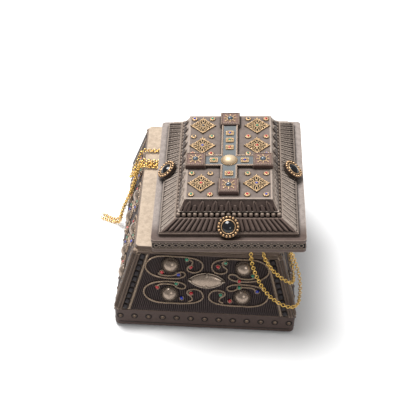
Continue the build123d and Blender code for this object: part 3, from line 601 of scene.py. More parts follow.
MILLED = paint_wear_and_painted_light(
    "milled_edge", base=(0.060, 0.041, 0.033), wash=(0.006, 0.004, 0.003), edge=(0.55, 0.42, 0.33),
    top=(0.52, 0.39, 0.30), crest=(0.68, 0.97), crevice=0.8, roughness=0.38
)
INLAY = paint_wear_and_painted_light(
    "inlay_blue_grey", base=(0.066, 0.078, 0.087), wash=(0.012, 0.014, 0.016), edge=(0.24, 0.25, 0.25),
    crevice=1.6, roughness=0.3
)
ROSE_PLATE = paint_wear_and_painted_light(
    "end_plate_rose", base=(0.085, 0.052, 0.044), wash=(0.014, 0.009, 0.008), edge=(0.48, 0.36, 0.29),
    top=(0.21, 0.135, 0.113), roughness=0.38
)
FELT = paint_wear_and_painted_light(
    "felt", base=(0.03, 0.03, 0.032), wash=(0.01, 0.01, 0.01), edge=(0.05, 0.05, 0.05), roughness=0.85,
    bump=1.0
)
CHAIN_GOLD = plated("chain_gold", base=(0.95, 0.63, 0.19), tarnish_and_shade=(0.10, 0.045, 0.008), roughness=0.2)
RED = glossy("enamel_red", (0.50, 0.012, 0.02))
GREEN = glossy("enamel_green", (0.008, 0.22, 0.12))
BLUE = glossy("enamel_blue", (0.012, 0.03, 0.36))
DARK_GEM = glossy("enamel_dark", (0.02, 0.02, 0.035))
BLACK_STONE = glossy("stone_black", (0.003, 0.003, 0.005), roughness=0.04, coat=0.1)
GREY_STONE = glossy("stone_grey", (0.075, 0.095, 0.12), roughness=0.1)


# ---------------- camera and light
CAMERA_TARGET = Vector((-7.02, 8.37, 40.0)) * MM
CAMERA_AZIMUTH, CAMERA_ELEVATION, CAMERA_ROLL = 0.0092, 0.7322, 0.0412
CAMERA_DISTANCE, CAMERA_LENS = 730.9 * MM, 94.6
LIGHT_TARGET = Vector((0, 0, 0.05))
WORLD_STRENGTH = 0.42
FLOOR_HALF = 3.0  # metres
camera_back = Vector((
    sin(CAMERA_AZIMUTH) * cos(CAMERA_ELEVATION),
    -cos(CAMERA_AZIMUTH) * cos(CAMERA_ELEVATION),
    sin(CAMERA_ELEVATION),
))
level_right = (-camera_back).cross(Vector((0, 0, 1))).normalized()
level_up = level_right.cross(-camera_back)
camera_right = level_right * cos(CAMERA_ROLL) + level_up * sin(CAMERA_ROLL)
camera_up = level_up * cos(CAMERA_ROLL) - level_right * sin(CAMERA_ROLL)
camera_data = bpy.data.cameras.new("camera")
camera_data.lens, camera_data.sensor_width = CAMERA_LENS, 36.0
camera_data.clip_start, camera_data.clip_end = 0.01, 50.0
camera = bpy.data.objects.new("camera", camera_data)
turn = Matrix((camera_right, camera_up, camera_back)).transposed().to_4x4()
camera.matrix_world = Matrix.Translation(CAMERA_TARGET + camera_back * CAMERA_DISTANCE) @ turn
scene.collection.objects.link(camera)
scene.camera = camera


def soft_light(name, place, size, power):
    """A square lamp that looks at the casket: place and size in metres, power in watts."""
    data = bpy.data.lights.new(name, "AREA")
    data.shape, data.size, data.energy = "SQUARE", size, power
    lamp = bpy.data.objects.new(name, data)
    lamp.location = place
    lamp.rotation_euler = (LIGHT_TARGET - Vector(place)).to_track_quat("-Z", "Y").to_euler()
    scene.collection.objects.link(lamp)


soft_light("key", place=(-0.28, 0.22, 0.95), size=0.55, power=15.0)
soft_light("front_fill", place=(0.45, -0.95, 0.55), size=0.35, power=1.6)
world = bpy.data.worlds.new("studio")
world.use_nodes = True
world.node_tree.nodes["Background"].inputs["Color"].default_value = (1.0, 1.0, 1.0, 1.0)
world.node_tree.nodes["Background"].inputs["Strength"].default_value = WORLD_STRENGTH
scene.world = world
scene.view_settings.view_transform = "Standard"

floor_data = bpy.data.meshes.new("floor")
floor_data.from_pydata([(x * FLOOR_HALF, y * FLOOR_HALF, 0) for x, y in SQUARE], [], [(0, 1, 2, 3)])
floor = bpy.data.objects.new("floor", floor_data)
paper, _, paper_shader = new_material("floor_paper")
paper_shader.inputs["Base Color"].default_value = (0.93, 0.93, 0.93, 1.0)
paper_shader.inputs["Roughness"].default_value = 0.8
floor_data.materials.append(paper)
scene.collection.objects.link(floor)


# ---------------- chains
LINK_RADIUS, LINK_WIRE, LINK_STRETCH, LINK_PITCH = 1.04, 0.27, 1.09, 1.7
LINK_WOBBLE = 0.2  # radians, either way
CHAINS = {
    "chain_front": [
        (2, -38, 9.4), (12, -44, 9.4), (21, -47.2, 11.5), (24.6, -47.9, 20), (25.0, -48.1, 34),
        (24.8, -47.8, 48), (25.3, -48.0, 57), (25.6, -48.0, 64.6), (26.3, -55.5, 62.95),
        (26.8, -63.6, 64.3), (27.6, -65.2, 57.5), (29.4, -67.0, 51), (32.8, -69.4, 43.8), (37.0, -71.6, 37),
        (42.8, -73.6, 31.2), (49.0, -75.0, 27.6), (55.6, -75.8, 26), (60.2, -71.5, 25), (61.2, -64, 24.6),
        (61.8, -56.5, 25.4), (61.2, -49.5, 29.4), (58.2, -45.3, 35.9), (55.0, -43.0, 44),
        (52.6, -41.6, 52.4), (51.0, -41.0, 59), (48.4, -40.6, 64.5), (40.5, -40.4, 62.95),
        (32.4, -40.2, 64.7), (32.6, -40.0, 57), (32.4, -39.8, 48), (32.6, -39.5, 34), (31.7, -38.0, 20),
        (29.0, -33.5, 11.5), (21.0, -27, 9.4), (12.0, -22, 9.4),
    ],
    "chain_corner": [
        (6, -33, 9.4), (16, -39.5, 9.4), (25.5, -44.3, 11.5), (29.6, -46.3, 20), (29.4, -46.5, 34),
        (29.7, -46.2, 48), (29.6, -46.6, 57), (30.2, -47.9, 64.7), (32.4, -55.5, 62.95),
        (34.4, -63.6, 64.3), (36.2, -65.3, 58.2), (40.2, -67.0, 52.6), (45.2, -68.6, 47.8),
        (50.6, -69.8, 44.2), (55.2, -68.6, 41.2), (56.2, -62, 39.8), (55.8, -55.5, 39.8), (54.8, -50, 42.8),
        (53.2, -47.3, 49), (51.2, -46.2, 56.5), (48.4, -45.8, 64.4), (40.5, -45.6, 62.95),
        (32.4, -45.0, 64.7), (32.6, -44.6, 57), (32.4, -44.9, 48), (32.6, -44.5, 34), (32.2, -43.6, 20),
        (29.0, -39.8, 11.5), (20.0, -34.5, 9.4), (10.5, -29.5, 9.4),
    ],
    "chain_left_front": [
        (-14, 5, 9.4), (-23, 10.5, 9.4), (-30.0, 15.2, 11.5), (-32.3, 17.2, 20), (-32.6, 17.3, 34),
        (-32.3, 17.1, 48), (-32.6, 17.3, 57), (-32.4, 17.2, 63.7), (-41, 17.3, 62.95), (-48.4, 17.2, 64.2),
        (-50.9, 17.0, 57), (-52.3, 17.2, 49.5), (-53.9, 17.6, 42.5), (-56.0, 18.2, 34.5), (-58.4, 18.9, 27),
        (-61.2, 19.4, 19), (-63.2, 19.8, 11.5), (-64.2, 20.6, 4.6), (-68.0, 22.6, 1.4), (-73.2, 24.8, 1.4),
        (-78.2, 27.0, 1.4),
    ],
    "chain_left_back": [
        (-12, 14, 9.4), (-21, 18, 9.4), (-29.6, 19.6, 11.5), (-32.3, 20.1, 20), (-32.6, 20.3, 34),
        (-32.3, 20.0, 48), (-32.6, 20.2, 57), (-32.4, 20.1, 63.7), (-41, 20.2, 62.95), (-48.4, 20.1, 64.2),
        (-51.1, 20.0, 57), (-52.6, 20.2, 49.5), (-54.2, 20.6, 42.5), (-56.3, 21.2, 34.5), (-58.7, 21.9, 27),
        (-61.5, 22.4, 19), (-63.6, 22.9, 11.5), (-64.8, 23.8, 4.6), (-68.6, 25.9, 1.4), (-73.2, 28.4, 1.4),
        (-77.4, 30.9, 1.4),
    ],
    "chain_left_loop": [
        (-12, 26, 9.4), (-21, 28.5, 9.4), (-29.6, 31, 11.5), (-32.3, 32.2, 20), (-32.6, 31.9, 34),
        (-32.3, 32.2, 48), (-32.6, 32.0, 57), (-32.4, 32.0, 63.7), (-41, 31.6, 62.95), (-48.6, 31.0, 64.2),
        (-51.0, 28.6, 58.4), (-53.6, 25.6, 52.2), (-56.4, 21.6, 48.6), (-56.0, 16.6, 50.6),
        (-52.6, 14.2, 57.0), (-48.6, 14.2, 64.2), (-41, 14.3, 62.95), (-32.4, 14.2, 63.7),
        (-32.6, 14.0, 57), (-32.3, 13.7, 48), (-32.6, 13.2, 34), (-32.0, 11.6, 20), (-29.0, 7.0, 11.5),
        (-21.0, 1.5, 9.4), (-12.5, -3.0, 9.4),
    ],
}


def route_line(name, points):
    """Points along a chain's own smooth line, read from its spline, in millimetres."""
    data = bpy.data.curves.new(name + "_route", "CURVE")
    data.dimensions, data.resolution_u = "3D", 12
    spline = data.splines.new("NURBS")
    spline.points.add(len(points) - 1)
    for control, point in zip(spline.points, points):
        control.co = (*(value * MM for value in point), 1.0)
    spline.order_u, spline.use_endpoint_u = 3, True
    curve = bpy.data.objects.new(name + "_route", data)
    scene.collection.objects.link(curve)
    mesh = bpy.data.meshes.new_from_object(curve)
    line = np.array([vertex.co[:] for vertex in mesh.vertices]) / MM
    bpy.data.objects.remove(curve)
    bpy.data.meshes.remove(mesh)
    return line


def chain(name, points):
    """Small round links, each turned a quarter from the last and threaded through it."""
    line = evenly(route_line(name, points), LINK_PITCH)
    links = Shape()
    form = ring(LINK_RADIUS, LINK_WIRE, around=18, section=8, stretch=LINK_STRETCH)
    for number, (point, (tangent, side, up)) in enumerate(zip(line, carried_frames(line))):
        roll = pi / 2 * (number % 2) + pi / 4 + random.uniform(-LINK_WOBBLE, LINK_WOBBLE)
        matrix = np.eye(4)
        matrix[:3, 0], matrix[:3, 3] = tangent, point
        matrix[:3, 1] = cos(roll) * side + sin(roll) * up
        matrix[:3, 2] = cos(roll) * up - sin(roll) * side
        links.add(form, matrix)
    made = links.piece(f"{name}_links", "box", CHAIN_GOLD, [name], "chain_gold")


for name, points in CHAINS.items():
    chain(name, points)


# ---------------- kept CAD parts get their finishes
def finish(material, *nodes):
    """Give CAD parts their material."""
    for node in nodes:
        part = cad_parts[node]
        part.data.materials.clear()
        part.data.materials.append(material)
        part.data.polygons.foreach_set("material_index", [0] * len(part.data.polygons))


finish(FELT, "felt_base_pad")
finish(RESIN_PLINTH, "base_plinth")
finish(PANEL_DARK, "casket_body")
finish(RIM_CREAM, "rim")
finish(BRONZE, "plinth_rivets")
finish(OLD_SILVER, *(f"{side}_bosses" for side in SIDES))
finish(RED, "enamel_beads_red", "gems_red")
finish(GREEN, "enamel_beads_green", "gems_green")
finish(BLUE, "enamel_beads_blue", "gems_blue")
finish(DARK_GEM, "gems_dark")
finish(LID_RESIN, "lid_plate", "lid_lip", "lid_step")
finish(BLACK_STONE, "medallion_stones")
finish(GREY_STONE, "cross_end_stones")
finish(LID_RESIN, "cross_base")
finish(INLAY, "cross_inlay")
finish(ROSE_PLATE, *(f"cross_end_{side}" for side in SIDES))
finish(PALE_GILT, "centre_boss")
finish(GILT, "cross_plaques")
finish(DARK_BRONZE, *(f"medallion_{side}" for side in SIDES))


# ---------------- panels, straps and cornice
RIB_PITCH, RIB_HEIGHT = 1.15, 0.65
PROFILE_STEPS = 5


def swept_up(outline_low, outline_high, low, high):
    """A profile (across, height) at the foot and at the top of a face, joined by straight lines."""
    return loft([
        [(x, low, z) for x, z in outline_low],
        [(x, high, z) for x, z in outline_high],
    ])


def ribbed_panel(side):
    """Upright half-round ribs between the two straps of a face."""
    low, high = PANEL_GAP, face_size(side)[2] - CORNICE_HEIGHT
    inset = STRAP_GAP + STRAP_WIDTH
    outlines = []
    count = int(2 * (half_width(side, (low + high) / 2) - inset) / RIB_PITCH)
    for up in (low, high):
        half = half_width(side, up) - inset
        outline = [(half, -PANEL_THICK), (-half, -PANEL_THICK)]
        for step in range(count * PROFILE_STEPS + 1):
            share = step / (count * PROFILE_STEPS)
            wave = abs(sin(pi * share * count)) ** 0.7
            outline.append((-half + 2 * half * share, PANEL_THICK - RIB_HEIGHT + RIB_HEIGHT * wave))
        outlines.append(outline)
    Shape().add(swept_up(*outlines, low, high), FACE[side]).piece(
        f"{side}_panel_ribs", "box", PANEL_DARK, [f"{side}_panel"], "panel_dark")


def strap_inner(side, up):
    """How far a strap's inner edge is from a face's middle, at a height up the face."""
    return half_width(side, up) - STRAP_GAP - STRAP_WIDTH


def strap_profile():
    """Across a strap from its inner edge: a seat for the rope, the bead channel, and two reeds."""
    profile = [(0, 0), (0, STRAP_SEAT), (CHANNEL_LOW, STRAP_SEAT), (CHANNEL_LOW + 0.15, CHANNEL_FLOOR - 0.5)]
    profile += [(CHANNEL_HIGH - 0.15, CHANNEL_FLOOR - 0.5), (CHANNEL_HIGH, STRAP_THICK - 0.5)]
    reeds = 2
    reed = (STRAP_WIDTH - CHANNEL_HIGH) / reeds
    for number in range(reeds):
        for step in range(1, 8):
            angle = pi * step / 8
            across = CHANNEL_HIGH + reed * (number + 0.5 - 0.5 * cos(angle))
            profile.append((across, STRAP_THICK - 0.5 + 0.6 * sin(angle)))
    return profile + [(STRAP_WIDTH, STRAP_SEAT), (STRAP_WIDTH, 0)]


def straps(side):
    """The two moulded straps of a face, each with a rope and a row of flat beads."""
    low, high = PANEL_GAP, face_size(side)[2] - CORNICE_HEIGHT
    profile = strap_profile()
    bars, cords, beads = Shape(), Shape(), Shape()
    for hand in (-1, 1):
        outlines = []
        for up in (low, high):
            inner = strap_inner(side, up)
            outlines.append([(hand * (inner + across), z) for across, z in profile][::-hand])
        bars.add(swept_up(*outlines, low, high), FACE[side])
        ends = []
        for up in (low + 0.5, high - 0.4):
            ends.append((hand * (strap_inner(side, up) + 1.05), up, 1.25))
        for form in rope(ends, 0.62, 1.9):
            cords.add(form, FACE[side])
        pitch = (high - low) / STRAP_BEADS
        lean = hand * atan2(half_width(side, 0) - half_width(side, 10), 10)
        for number in range(STRAP_BEADS):
            up = low + (number + 0.5) * pitch
            middle = hand * (strap_inner(side, up) + (CHANNEL_LOW + CHANNEL_HIGH) / 2)
            beads.add(pillow(1.55, 1.75, 1.35), at(FACE[side], middle, up, CHANNEL_FLOOR - 0.6, lean))
    bars.piece(f"{side}_strap_mouldings", "box", RESIN_STRAP, [f"{side}_straps"], "resin_body")
    cords.piece(f"{side}_strap_ropes", "box", BRONZE, (), "rubbed_bronze")
    beads.piece(f"{side}_strap_beads", "box", BEAD_DARK, ["strap_beads"], "bead_dark")


def cornice():
    """Two reeds under the rim, with a knob at each corner."""
    moulding = Shape()
    for side in SIDES:
        slope = face_size(side)[2]
        profile = [(slope - CORNICE_HEIGHT, 0), (slope - CORNICE_HEIGHT, 0.8)]
        for centre, radius in ((slope - 2.05, 0.85), (slope - 0.85, 0.4)):
            for step in range(9):
                angle = pi * step / 8
                profile.append((centre - radius * cos(angle), 0.85 + radius * 0.75 * sin(angle)))
        profile.append((slope - 0.4, 0))
        rows = []
        for hand in (-1, 1):
            rows.append([(hand * (half_width(side, up) + 0.2), up, z) for up, z in profile])
        moulding.add(loft(rows), FACE[side])
    knob_z = NECK_Z - 1.6
    for x in (-1, 1):
        for y in (-1, 1):
            out = 0.9
            place = np.eye(4)
            place[:3, 3] = x * (NECK_X + out), y * (NECK_Y + out), knob_z
            moulding.add(ball(1.75, 14, 9), place)
    moulding.piece("cornice_mouldings", "box", RESIN_STRAP, ["cornice"], "resin_body")


# ---------------- bosses, wires and the pointed plates
END_BOSSES = [(u, v) for u in (-END_COLUMN, END_COLUMN) for v in (LOW_ROW, HIGH_ROW)]
SIDE_BOSSES = [(u, v) for u in SIDE_COLUMNS for v in (LOW_ROW, HIGH_ROW)]
SIDE_BOSSES += [(-SIDE_OUTER_COLUMN, LOW_ROW), (SIDE_OUTER_COLUMN, LOW_ROW)]
BOSSES = {"front": END_BOSSES, "back": END_BOSSES, "left": SIDE_BOSSES, "right": SIDE_BOSSES}
ENAMEL_SPOTS = [
    (-13.2, 38.8), (-19.4, 21.0), (11.6, 37.6), (29.4, 29.2), (9.5, 14.1), (21.2, 20.1),
    (-10.4, 33.4), (-28.8, 28.9), (-31.6, 17.6), (-9.6, 14.3), (6.8, 34.6), (20.9, 24.8), (15.7, 9.9),
    (-18.2, 27.5), (-15.6, 10.4), (32.9, 17.8),
]
SIDE_SPOTS = [(-9.4, 15.6), (9.4, 37.0), (9.4, 11.4), (-9.4, 31.4), (9.4, 31.4), (-9.4, 11.4)]

# One wire of the top left quarter, from the enamel bead that its first hook holds, round the boss, to its
# last bead. Points are relative to the boss: (along, up).
SCROLL = [
    (11.6, 4.9), (13.9, 3.6), (13.4, 1.2), (11.0, -0.8),
    (11.3, -3.2), (15.0, -4.4), (18.8, -3.2), (20.6, 0.0),
    (19.8, 3.0), (16.0, 5.4), (9.0, 6.5), (1.3, 6.6), (-6.4, 6.5), (-12.2, 4.6), (-15.6, 0.6), (-15.3, -3.8),
    (-11.0, -7.5), (-4.8, -9.1), (1.3, -9.4), (6.4, -8.8), (9.4, -7.1), (9.2, -5.0), (7.2, -4.4), (4.4, -5.2),
    (2.4, -6.9), (-1.8, -7.5), (-6.2, -6.9), (-7.6, -5.6),
]
SIDE_SCROLL_SHRINK, LOW_SCROLL_WIDEN = 0.68, 1.05
CURL_RADIUS, CURL_TURN = 1.45, 4.6  # round an enamel bead: millimetres, radians


def smooth_line(points, steps=7):
    """A soft line through points of a plane."""
    points = np.array([points[0], *points, points[-1]], float)
    line = []
    for before, a, b, after in zip(points, points[1:], points[2:], points[3:]):
        for share in np.arange(steps) / steps:
            line.append(0.5 * (
                2 * a + (b - before) * share + (2 * before - 5 * a + 4 * b - after) * share**2
                + (3 * a - before - 3 * b + after) * share**3
            ))
    return np.array(line + [points[-1]])


def wires(side):
    """Twisted wire scrolled round the bosses, with a small open curl round each enamel bead."""
    twisted = Shape()
    height = PANEL_THICK + 0.45
    if side in ("front", "back"):
        shrink, columns, spots = 1.0, [(-END_COLUMN, 1), (END_COLUMN, -1)], ENAMEL_SPOTS
    else:
        shrink, columns = SIDE_SCROLL_SHRINK, [(u, 1) for u in SIDE_COLUMNS]
        spots = [(column + u, v) for column in SIDE_COLUMNS for u, v in SIDE_SPOTS]
    for column, hand in columns:
        for row, flip, widen in ((HIGH_ROW, 1, 1.0), (LOW_ROW, -1, LOW_SCROLL_WIDEN)):
            stretch = hand * shrink * widen
            line = smooth_line([(column + stretch * x, row + flip * y, height) for x, y in SCROLL])
            for form in rope(line, 0.52, 3.0):
                twisted.add(form, FACE[side])
    for u, v in spots:
        angles = random.uniform(0, 2 * pi) + np.linspace(0, CURL_TURN, 18)
        curl = [(u + CURL_RADIUS * cos(angle), v + CURL_RADIUS * sin(angle), height) for angle in angles]
        for form in rope(curl, 0.28, 1.1):
            twisted.add(form, FACE[side])
    twisted.piece(f"{side}_twisted_scrolls", "box", WIRE_BRONZE, [f"{side}_scroll_wires"], "rubbed_bronze")


def boss_rings():
    """A beaded ring and a plain one round each domed boss."""
    rings = Shape()
    for side in SIDES:
        for u, v in BOSSES[side]:
            place = at(FACE[side], u, v, PANEL_THICK)
            beads_round(rings, place, 5.55, 0.62, 26, 0.35, 7, 5)
            rings.add(ring(4.75, 0.3, 28, 6), raised(place, 0.3))
    rings.piece("boss_beaded_rings", "box", DARK_BRONZE, ["boss_rings"], "rubbed_bronze")


def navette(shape, place):
    """Add a pointed cushion with a thin rim and four claws."""
    columns, rows = 36, 12
    verts = []
    half_long, half_wide = NAVETTE_HALF_LONG - 0.5, NAVETTE_HALF_WIDE - 0.4
    for j in range(rows + 1):
        for i in range(columns + 1):
            s = -cos(pi * i / columns)
            t = -cos(pi * j / rows)
            width = half_wide * (1 - s * s) ** 0.85
            dome = (max(1 - t * t, 0) * max(1 - s * s, 0)) ** 0.5
            verts.append((half_long * s, width * t, 0.5 + 1.9 * dome ** 0.8))
    size = columns + 1
    faces = grid_faces(columns, rows)
    top = len(verts)
    last = rows * size
    verts += [(x, y, 0.0) for x, y, _ in verts[:size] + verts[last:last + size]]
    for i in range(columns):
        faces.append((top + i, top + i + 1, i + 1, i))
        faces.append((last + i, last + i + 1, top + size + i + 1, top + size + i))
        faces.append((top + i + 1, top + i, top + size + i, top + size + i + 1))
    shape.add((verts, faces), place)
    edge = []
    for step in range(64):
        angle = 2 * pi * step / 64
        s = cos(angle)
        edge.append((NAVETTE_HALF_LONG * s, NAVETTE_HALF_WIDE * sin(angle) * abs(sin(angle)) ** 0.7, 0.55))
    shape.add(tube(edge, 0.42, 6, closed=True), place)
    for across, up, inward in ((0, 1, 0.68), (0, -1, 0.68), (1, 0, 0.87), (-1, 0, 0.87)):
        x, y = across * NAVETTE_HALF_LONG, up * NAVETTE_HALF_WIDE
        claw = [(x, y, 0.1), (x * 0.99, y * 0.97, 1.3), (x * inward, y * inward, 1.9)]
        shape.add(tube(claw, 0.62, 8), place)
        shape.add(ball(0.75, 9, 6), at(place, x * inward, y * inward, 1.9))


def navettes():
    """The pointed plates of the front and back, between the bosses."""
    both = Shape()
    for side in ("front", "back"):
        navette(both, at(FACE[side], 0, NAVETTE_UP, PANEL_THICK))
    both.piece("navette_cushions", "box", OLD_SILVER, ["navette_plates"], "old_silver")


def rivet_collars():
    """A shallow ring round each rivet, and a fine line along the plinth under them, both near black: painted
    shade of the recess round each rivet and of the groove.
    """
    collars = Shape()
    runs = ((RIVETS_FRONT, BASE_Y / 2, BASE_X, 0), (RIVETS_SIDE, BASE_X / 2, BASE_Y, pi / 2))
    for count, half, length, turn in runs:
        for hand in (0, pi):
            turned = at(np.eye(4), 0, 0, 0, turn + hand)
            face = turned @ local_frame((0, -half, 0), (1, 0, 0), (0, -1, 0))
            for number in range(count):
                along = (number - (count - 1) / 2) * RIVET_PITCH
                collars.add(ring(1.95, 0.5, 20, 6), at(face, along, RIVET_Z, -0.3))
            end = length / 2 - 3
            collars.add(tube([(-end, GROOVE_Z, 0.02), (end, GROOVE_Z, 0.02)], 0.28, 6), face)
    # near black: painted shade of the rivet recesses and the groove
    collars.piece("rivet_collars", "box", RECESS_SHADE, (), "resin_body")


for side in SIDES:
    ribbed_panel(side)
    straps(side)
    wires(side)
cornice()
boss_rings()
navettes()
rivet_collars()


# ---------------- lid: frieze, cove, pearls and crown
def frieze():
    """A recessed band of little rings, joined by diamonds, on a near black ground: painted shade in the
    recess.
    """
    ground, rings = Shape(), Shape()
    middle = (FRIEZE_LOW + FRIEZE_HIGH) / 2
    rows = []
    for z in (FRIEZE_LOW + 0.02, FRIEZE_HIGH - 0.02):
        rows.append([(x * (LID_X - FRIEZE_DEPTH), y * (LID_Y - FRIEZE_DEPTH), z) for x, y in SQUARE])
    ground.add(loft(rows), LID)
    for length, half, turn in ((LID_X, LID_Y, 0), (LID_Y, LID_X, pi / 2)):
        for hand in (0, pi):
            turned = LID @ at(np.eye(4), 0, 0, 0, turn + hand)
            face = turned @ local_frame((0, -half + FRIEZE_DEPTH, 0), (1, 0, 0), (0, -1, 0))
            count = int(2 * (length - FRIEZE_END) / FRIEZE_PITCH)
            pitch = 2 * (length - FRIEZE_END) / count
            for number in range(count):
                along = (number - (count - 1) / 2) * pitch
                rings.add(ring(1.35, 0.26, 18, 6), at(face, along, middle, 0.2))
                if number:
                    edge = along - pitch / 2
                    rings.add(pillow(0.42, 0.42, 0.4, 4), at(face, edge, middle + 1.5, 0, pi / 4))
                    rings.add(pillow(0.42, 0.42, 0.4, 4), at(face, edge, middle - 1.5, 0, pi / 4))
                    rings.add(pillow(0.4, 0.4, 0.45, 4), at(face, edge, middle, 0, pi / 4))
            for edge in (FRIEZE_LOW + 0.25, FRIEZE_HIGH - 0.25):
                rings.add(tube([(-length + 1, edge, 0.2), (length - 1, edge, 0.2)], 0.26, 6), face)
    ground.piece("lid_frieze_ground", "lid", RECESS_SHADE, ["lid_frieze"], "resin_lid")
    rings.piece("lid_frieze_rings", "lid", FRIEZE_RING, (), "resin_lid")


def tongues(count, dots):
    """Heights of a row of leaf tongues with rounded tips at their feet; dots notch every other one."""
    def height(s, t):
        lane = min(s * count, count - 1e-6)
        across = 2 * (lane - int(lane)) - 1
        fade = min(min(s, 1 - s) * count * 3, 1.0)
        tip = 1 - (max(0.24 - t, 0) / 0.24) ** 2
        swell = max(1 - across**2 / max(tip, 1e-3), 0) ** 0.5
        rib = 0.25 * max(1 - abs(across) * 4, 0) * (t > 0.12)
        notch = dots * 0.35 * abs(sin(pi * t * 8)) if int(lane) % 2 else 0.0
        return fade * (1.25 * swell * (1 - 0.35 * t) + rib * swell - notch * swell)
    return height


def leaves(count):
    """Heights of upright pointed leaves with a mid rib, and small darts between them."""
    def height(s, t):
        lane = min(s * count, count - 1e-6)
        across = 2 * (lane - int(lane)) - 1
        half = 0.62 * max(1 - (t / 0.94) ** 2.2, 0.0) ** 0.8
        leaf = max(half - abs(across), 0) / max(half, 0.15)
        dart_half = 0.42 * max(1 - (t / 0.55) ** 2, 0.0) ** 0.5
        dart = max(dart_half - (1 - abs(across)), 0) / max(dart_half, 0.15)
        groove = 0.35 * max(1 - abs(across) * 9, 0) * (leaf > 0)
        shape = max(min(leaf * 3.0, 1.0) - groove, min(dart * 2.6, 0.75))
        ends = min(min(s, 1 - s) * 60, 1.0) * min((1 - t) * 14, 1.0, t * 14 + 0.2)
        return ends * 1.25 * shape
    return height


def slope_corners(low, high, side):
    """The four corners of one slope between two levels of the lid, seen from outside."""
    ends = {
        "front": ((-1, -1), (1, -1)), "back": ((1, 1), (-1, 1)),
        "right": ((1, -1), (1, 1)), "left": ((-1, 1), (-1, -1)),
    }[side]
    return [(across * x, deep * y, z) for x, y, z in (low, high) for across, deep in ends]


def frustum(low, high, inset=0.0):
    """A four-sided block between two levels, drawn in a little from them."""
    return loft([
        [(across * (x - inset), deep * (y - inset), z) for across, deep in SQUARE] for x, y, z in (low, high)
    ])


def cove():
    """Fans of leaf tongues on the front and back, and notched reeds along the sides."""
    low, high = (COVE_X, COVE_Y, STEP_TOP), (LEDGE_X, LEDGE_Y, LEDGE_Z)
    foot = (COVE_X + 0.9, COVE_Y + 0.9, STEP_TOP + 0.3)
    carved, front = Shape().add(frustum(low, high, 0.3), LID), Shape()
    for side in SIDES:
        count, dots = (24, 0) if side in ("front", "back") else (46, 1)
        # the front slope takes the darker copy of the carved finish, painted shade
        shape = front if side == "front" else carved
        shape.add(relief(slope_corners(foot, high, side), tongues(count, dots), count * 8, 20, 0.9), LID)
    foot_edge = (STEP_TOP + 0.2, COVE_X + 1.5, COVE_Y + 1.5)
    head_edge = (LEDGE_Z - 0.1, LEDGE_X + 0.1, LEDGE_Y + 0.1)
    for level, x, y in (foot_edge, head_edge):
        for number, (a, b) in enumerate(square_edges(x, y, level)):
            # the front rolls take the darker copy of the carved finish, painted shade
            shape = carved if number else front
            shape.add(tube([a, b], 0.45, 8), LID)
    carved.piece("lid_cove_tongues", "lid", LID_CARVED, ["lid_cove"], "resin_lid")
    front.piece("lid_cove_front_tongues", "lid", FRONT_CARVED_SHADED, (), "resin_lid")


def pearls():
    border = Shape()
    level = raised(LID, LEDGE_Z + PEARL_RADIUS * 0.8)
    for number in range(PEARLS_X):
        along = -PEARL_X + 2 * PEARL_X * number / PEARLS_X
        for place in ((along, -PEARL_Y), (-along, PEARL_Y)):
            border.add(ball(PEARL_RADIUS * 1.02, 16, 10), at(level, *place))
    for number in range(PEARLS_Y):
        along = -PEARL_Y + 2 * PEARL_Y * number / PEARLS_Y
        for place in ((PEARL_X, along), (-PEARL_X, -along)):
            border.add(ball(PEARL_RADIUS * 1.02, 16, 10), at(level, *place))
    border.piece("pearl_border_beads", "lid", TAN_BEAD, ["pearl_border"], "resin_lid")


def crown():
    """The raised top: upright leaves on its slopes and a roll along its edges."""
    foot, top = (CROWN_FOOT_X, CROWN_FOOT_Y, CROWN_FOOT_Z), (CROWN_TOP_X, CROWN_TOP_Y, CROWN_TOP)
    body, front = Shape(), Shape()
    neck = PEARL_X - PEARL_RADIUS - 0.1, PEARL_Y - PEARL_RADIUS - 0.1
    body.add(frustum((*neck, LEDGE_Z), (*neck, CROWN_FOOT_Z)), LID)
    body.add(frustum(foot, top, 0.25), LID)
    for side in SIDES:
        count = 7 if side in ("front", "back") else 11
        high = (CROWN_TOP_X + 0.4, CROWN_TOP_Y + 0.4, CROWN_TOP - 0.8)
        # the front slope takes the darker copy of the carved finish, painted shade
        shape = front if side == "front" else body
        shape.add(relief(slope_corners(foot, high, side), leaves(count), count * 16, 24), LID)
    top_roll = (CROWN_TOP - 0.45, CROWN_TOP_X + 0.05, CROWN_TOP_Y + 0.05, 0.62)
    foot_roll = (CROWN_FOOT_Z + 0.1, CROWN_FOOT_X + 0.2, CROWN_FOOT_Y + 0.2, 0.5)
    for level, x, y, size in (top_roll, foot_roll):
        edges = square_edges(x, y, level)
        for a, b in edges:
            body.add(tube([a, b], size, 10), LID)
        for corner, _ in edges:
            body.add(ball(size, 10, 8), at(LID, *corner))
    body.piece("lid_crown_leaves", "lid", LID_CARVED, ["lid_crown"], "resin_lid")
    front.piece("lid_crown_front_leaves", "lid", FRONT_CARVED_SHADED, (), "resin_lid")


# ---------------- lid: medallions, cross and gilt
def medal_frame(side):
    """A medallion's own frame, flat on the slope of its side of the lid."""
    if side in ("front", "back"):
        run, centre, hand = COVE_Y - LEDGE_Y, MEDAL_Y, -1 if side == "front" else 1
    else:
        run, centre, hand = COVE_X - LEDGE_X, MEDAL_X, -1 if side == "left" else 1
    rise = LEDGE_Z - STEP_TOP
    length = hypot(run, rise)
    outward, up = rise / length, run / length
    if side in ("front", "back"):
        return LID @ local_frame((0, hand * centre, MEDAL_Z), (-hand, 0, 0), (0, hand * outward, up))
    return LID @ local_frame((hand * centre, 0, MEDAL_Z), (0, hand, 0), (hand * outward, 0, up))


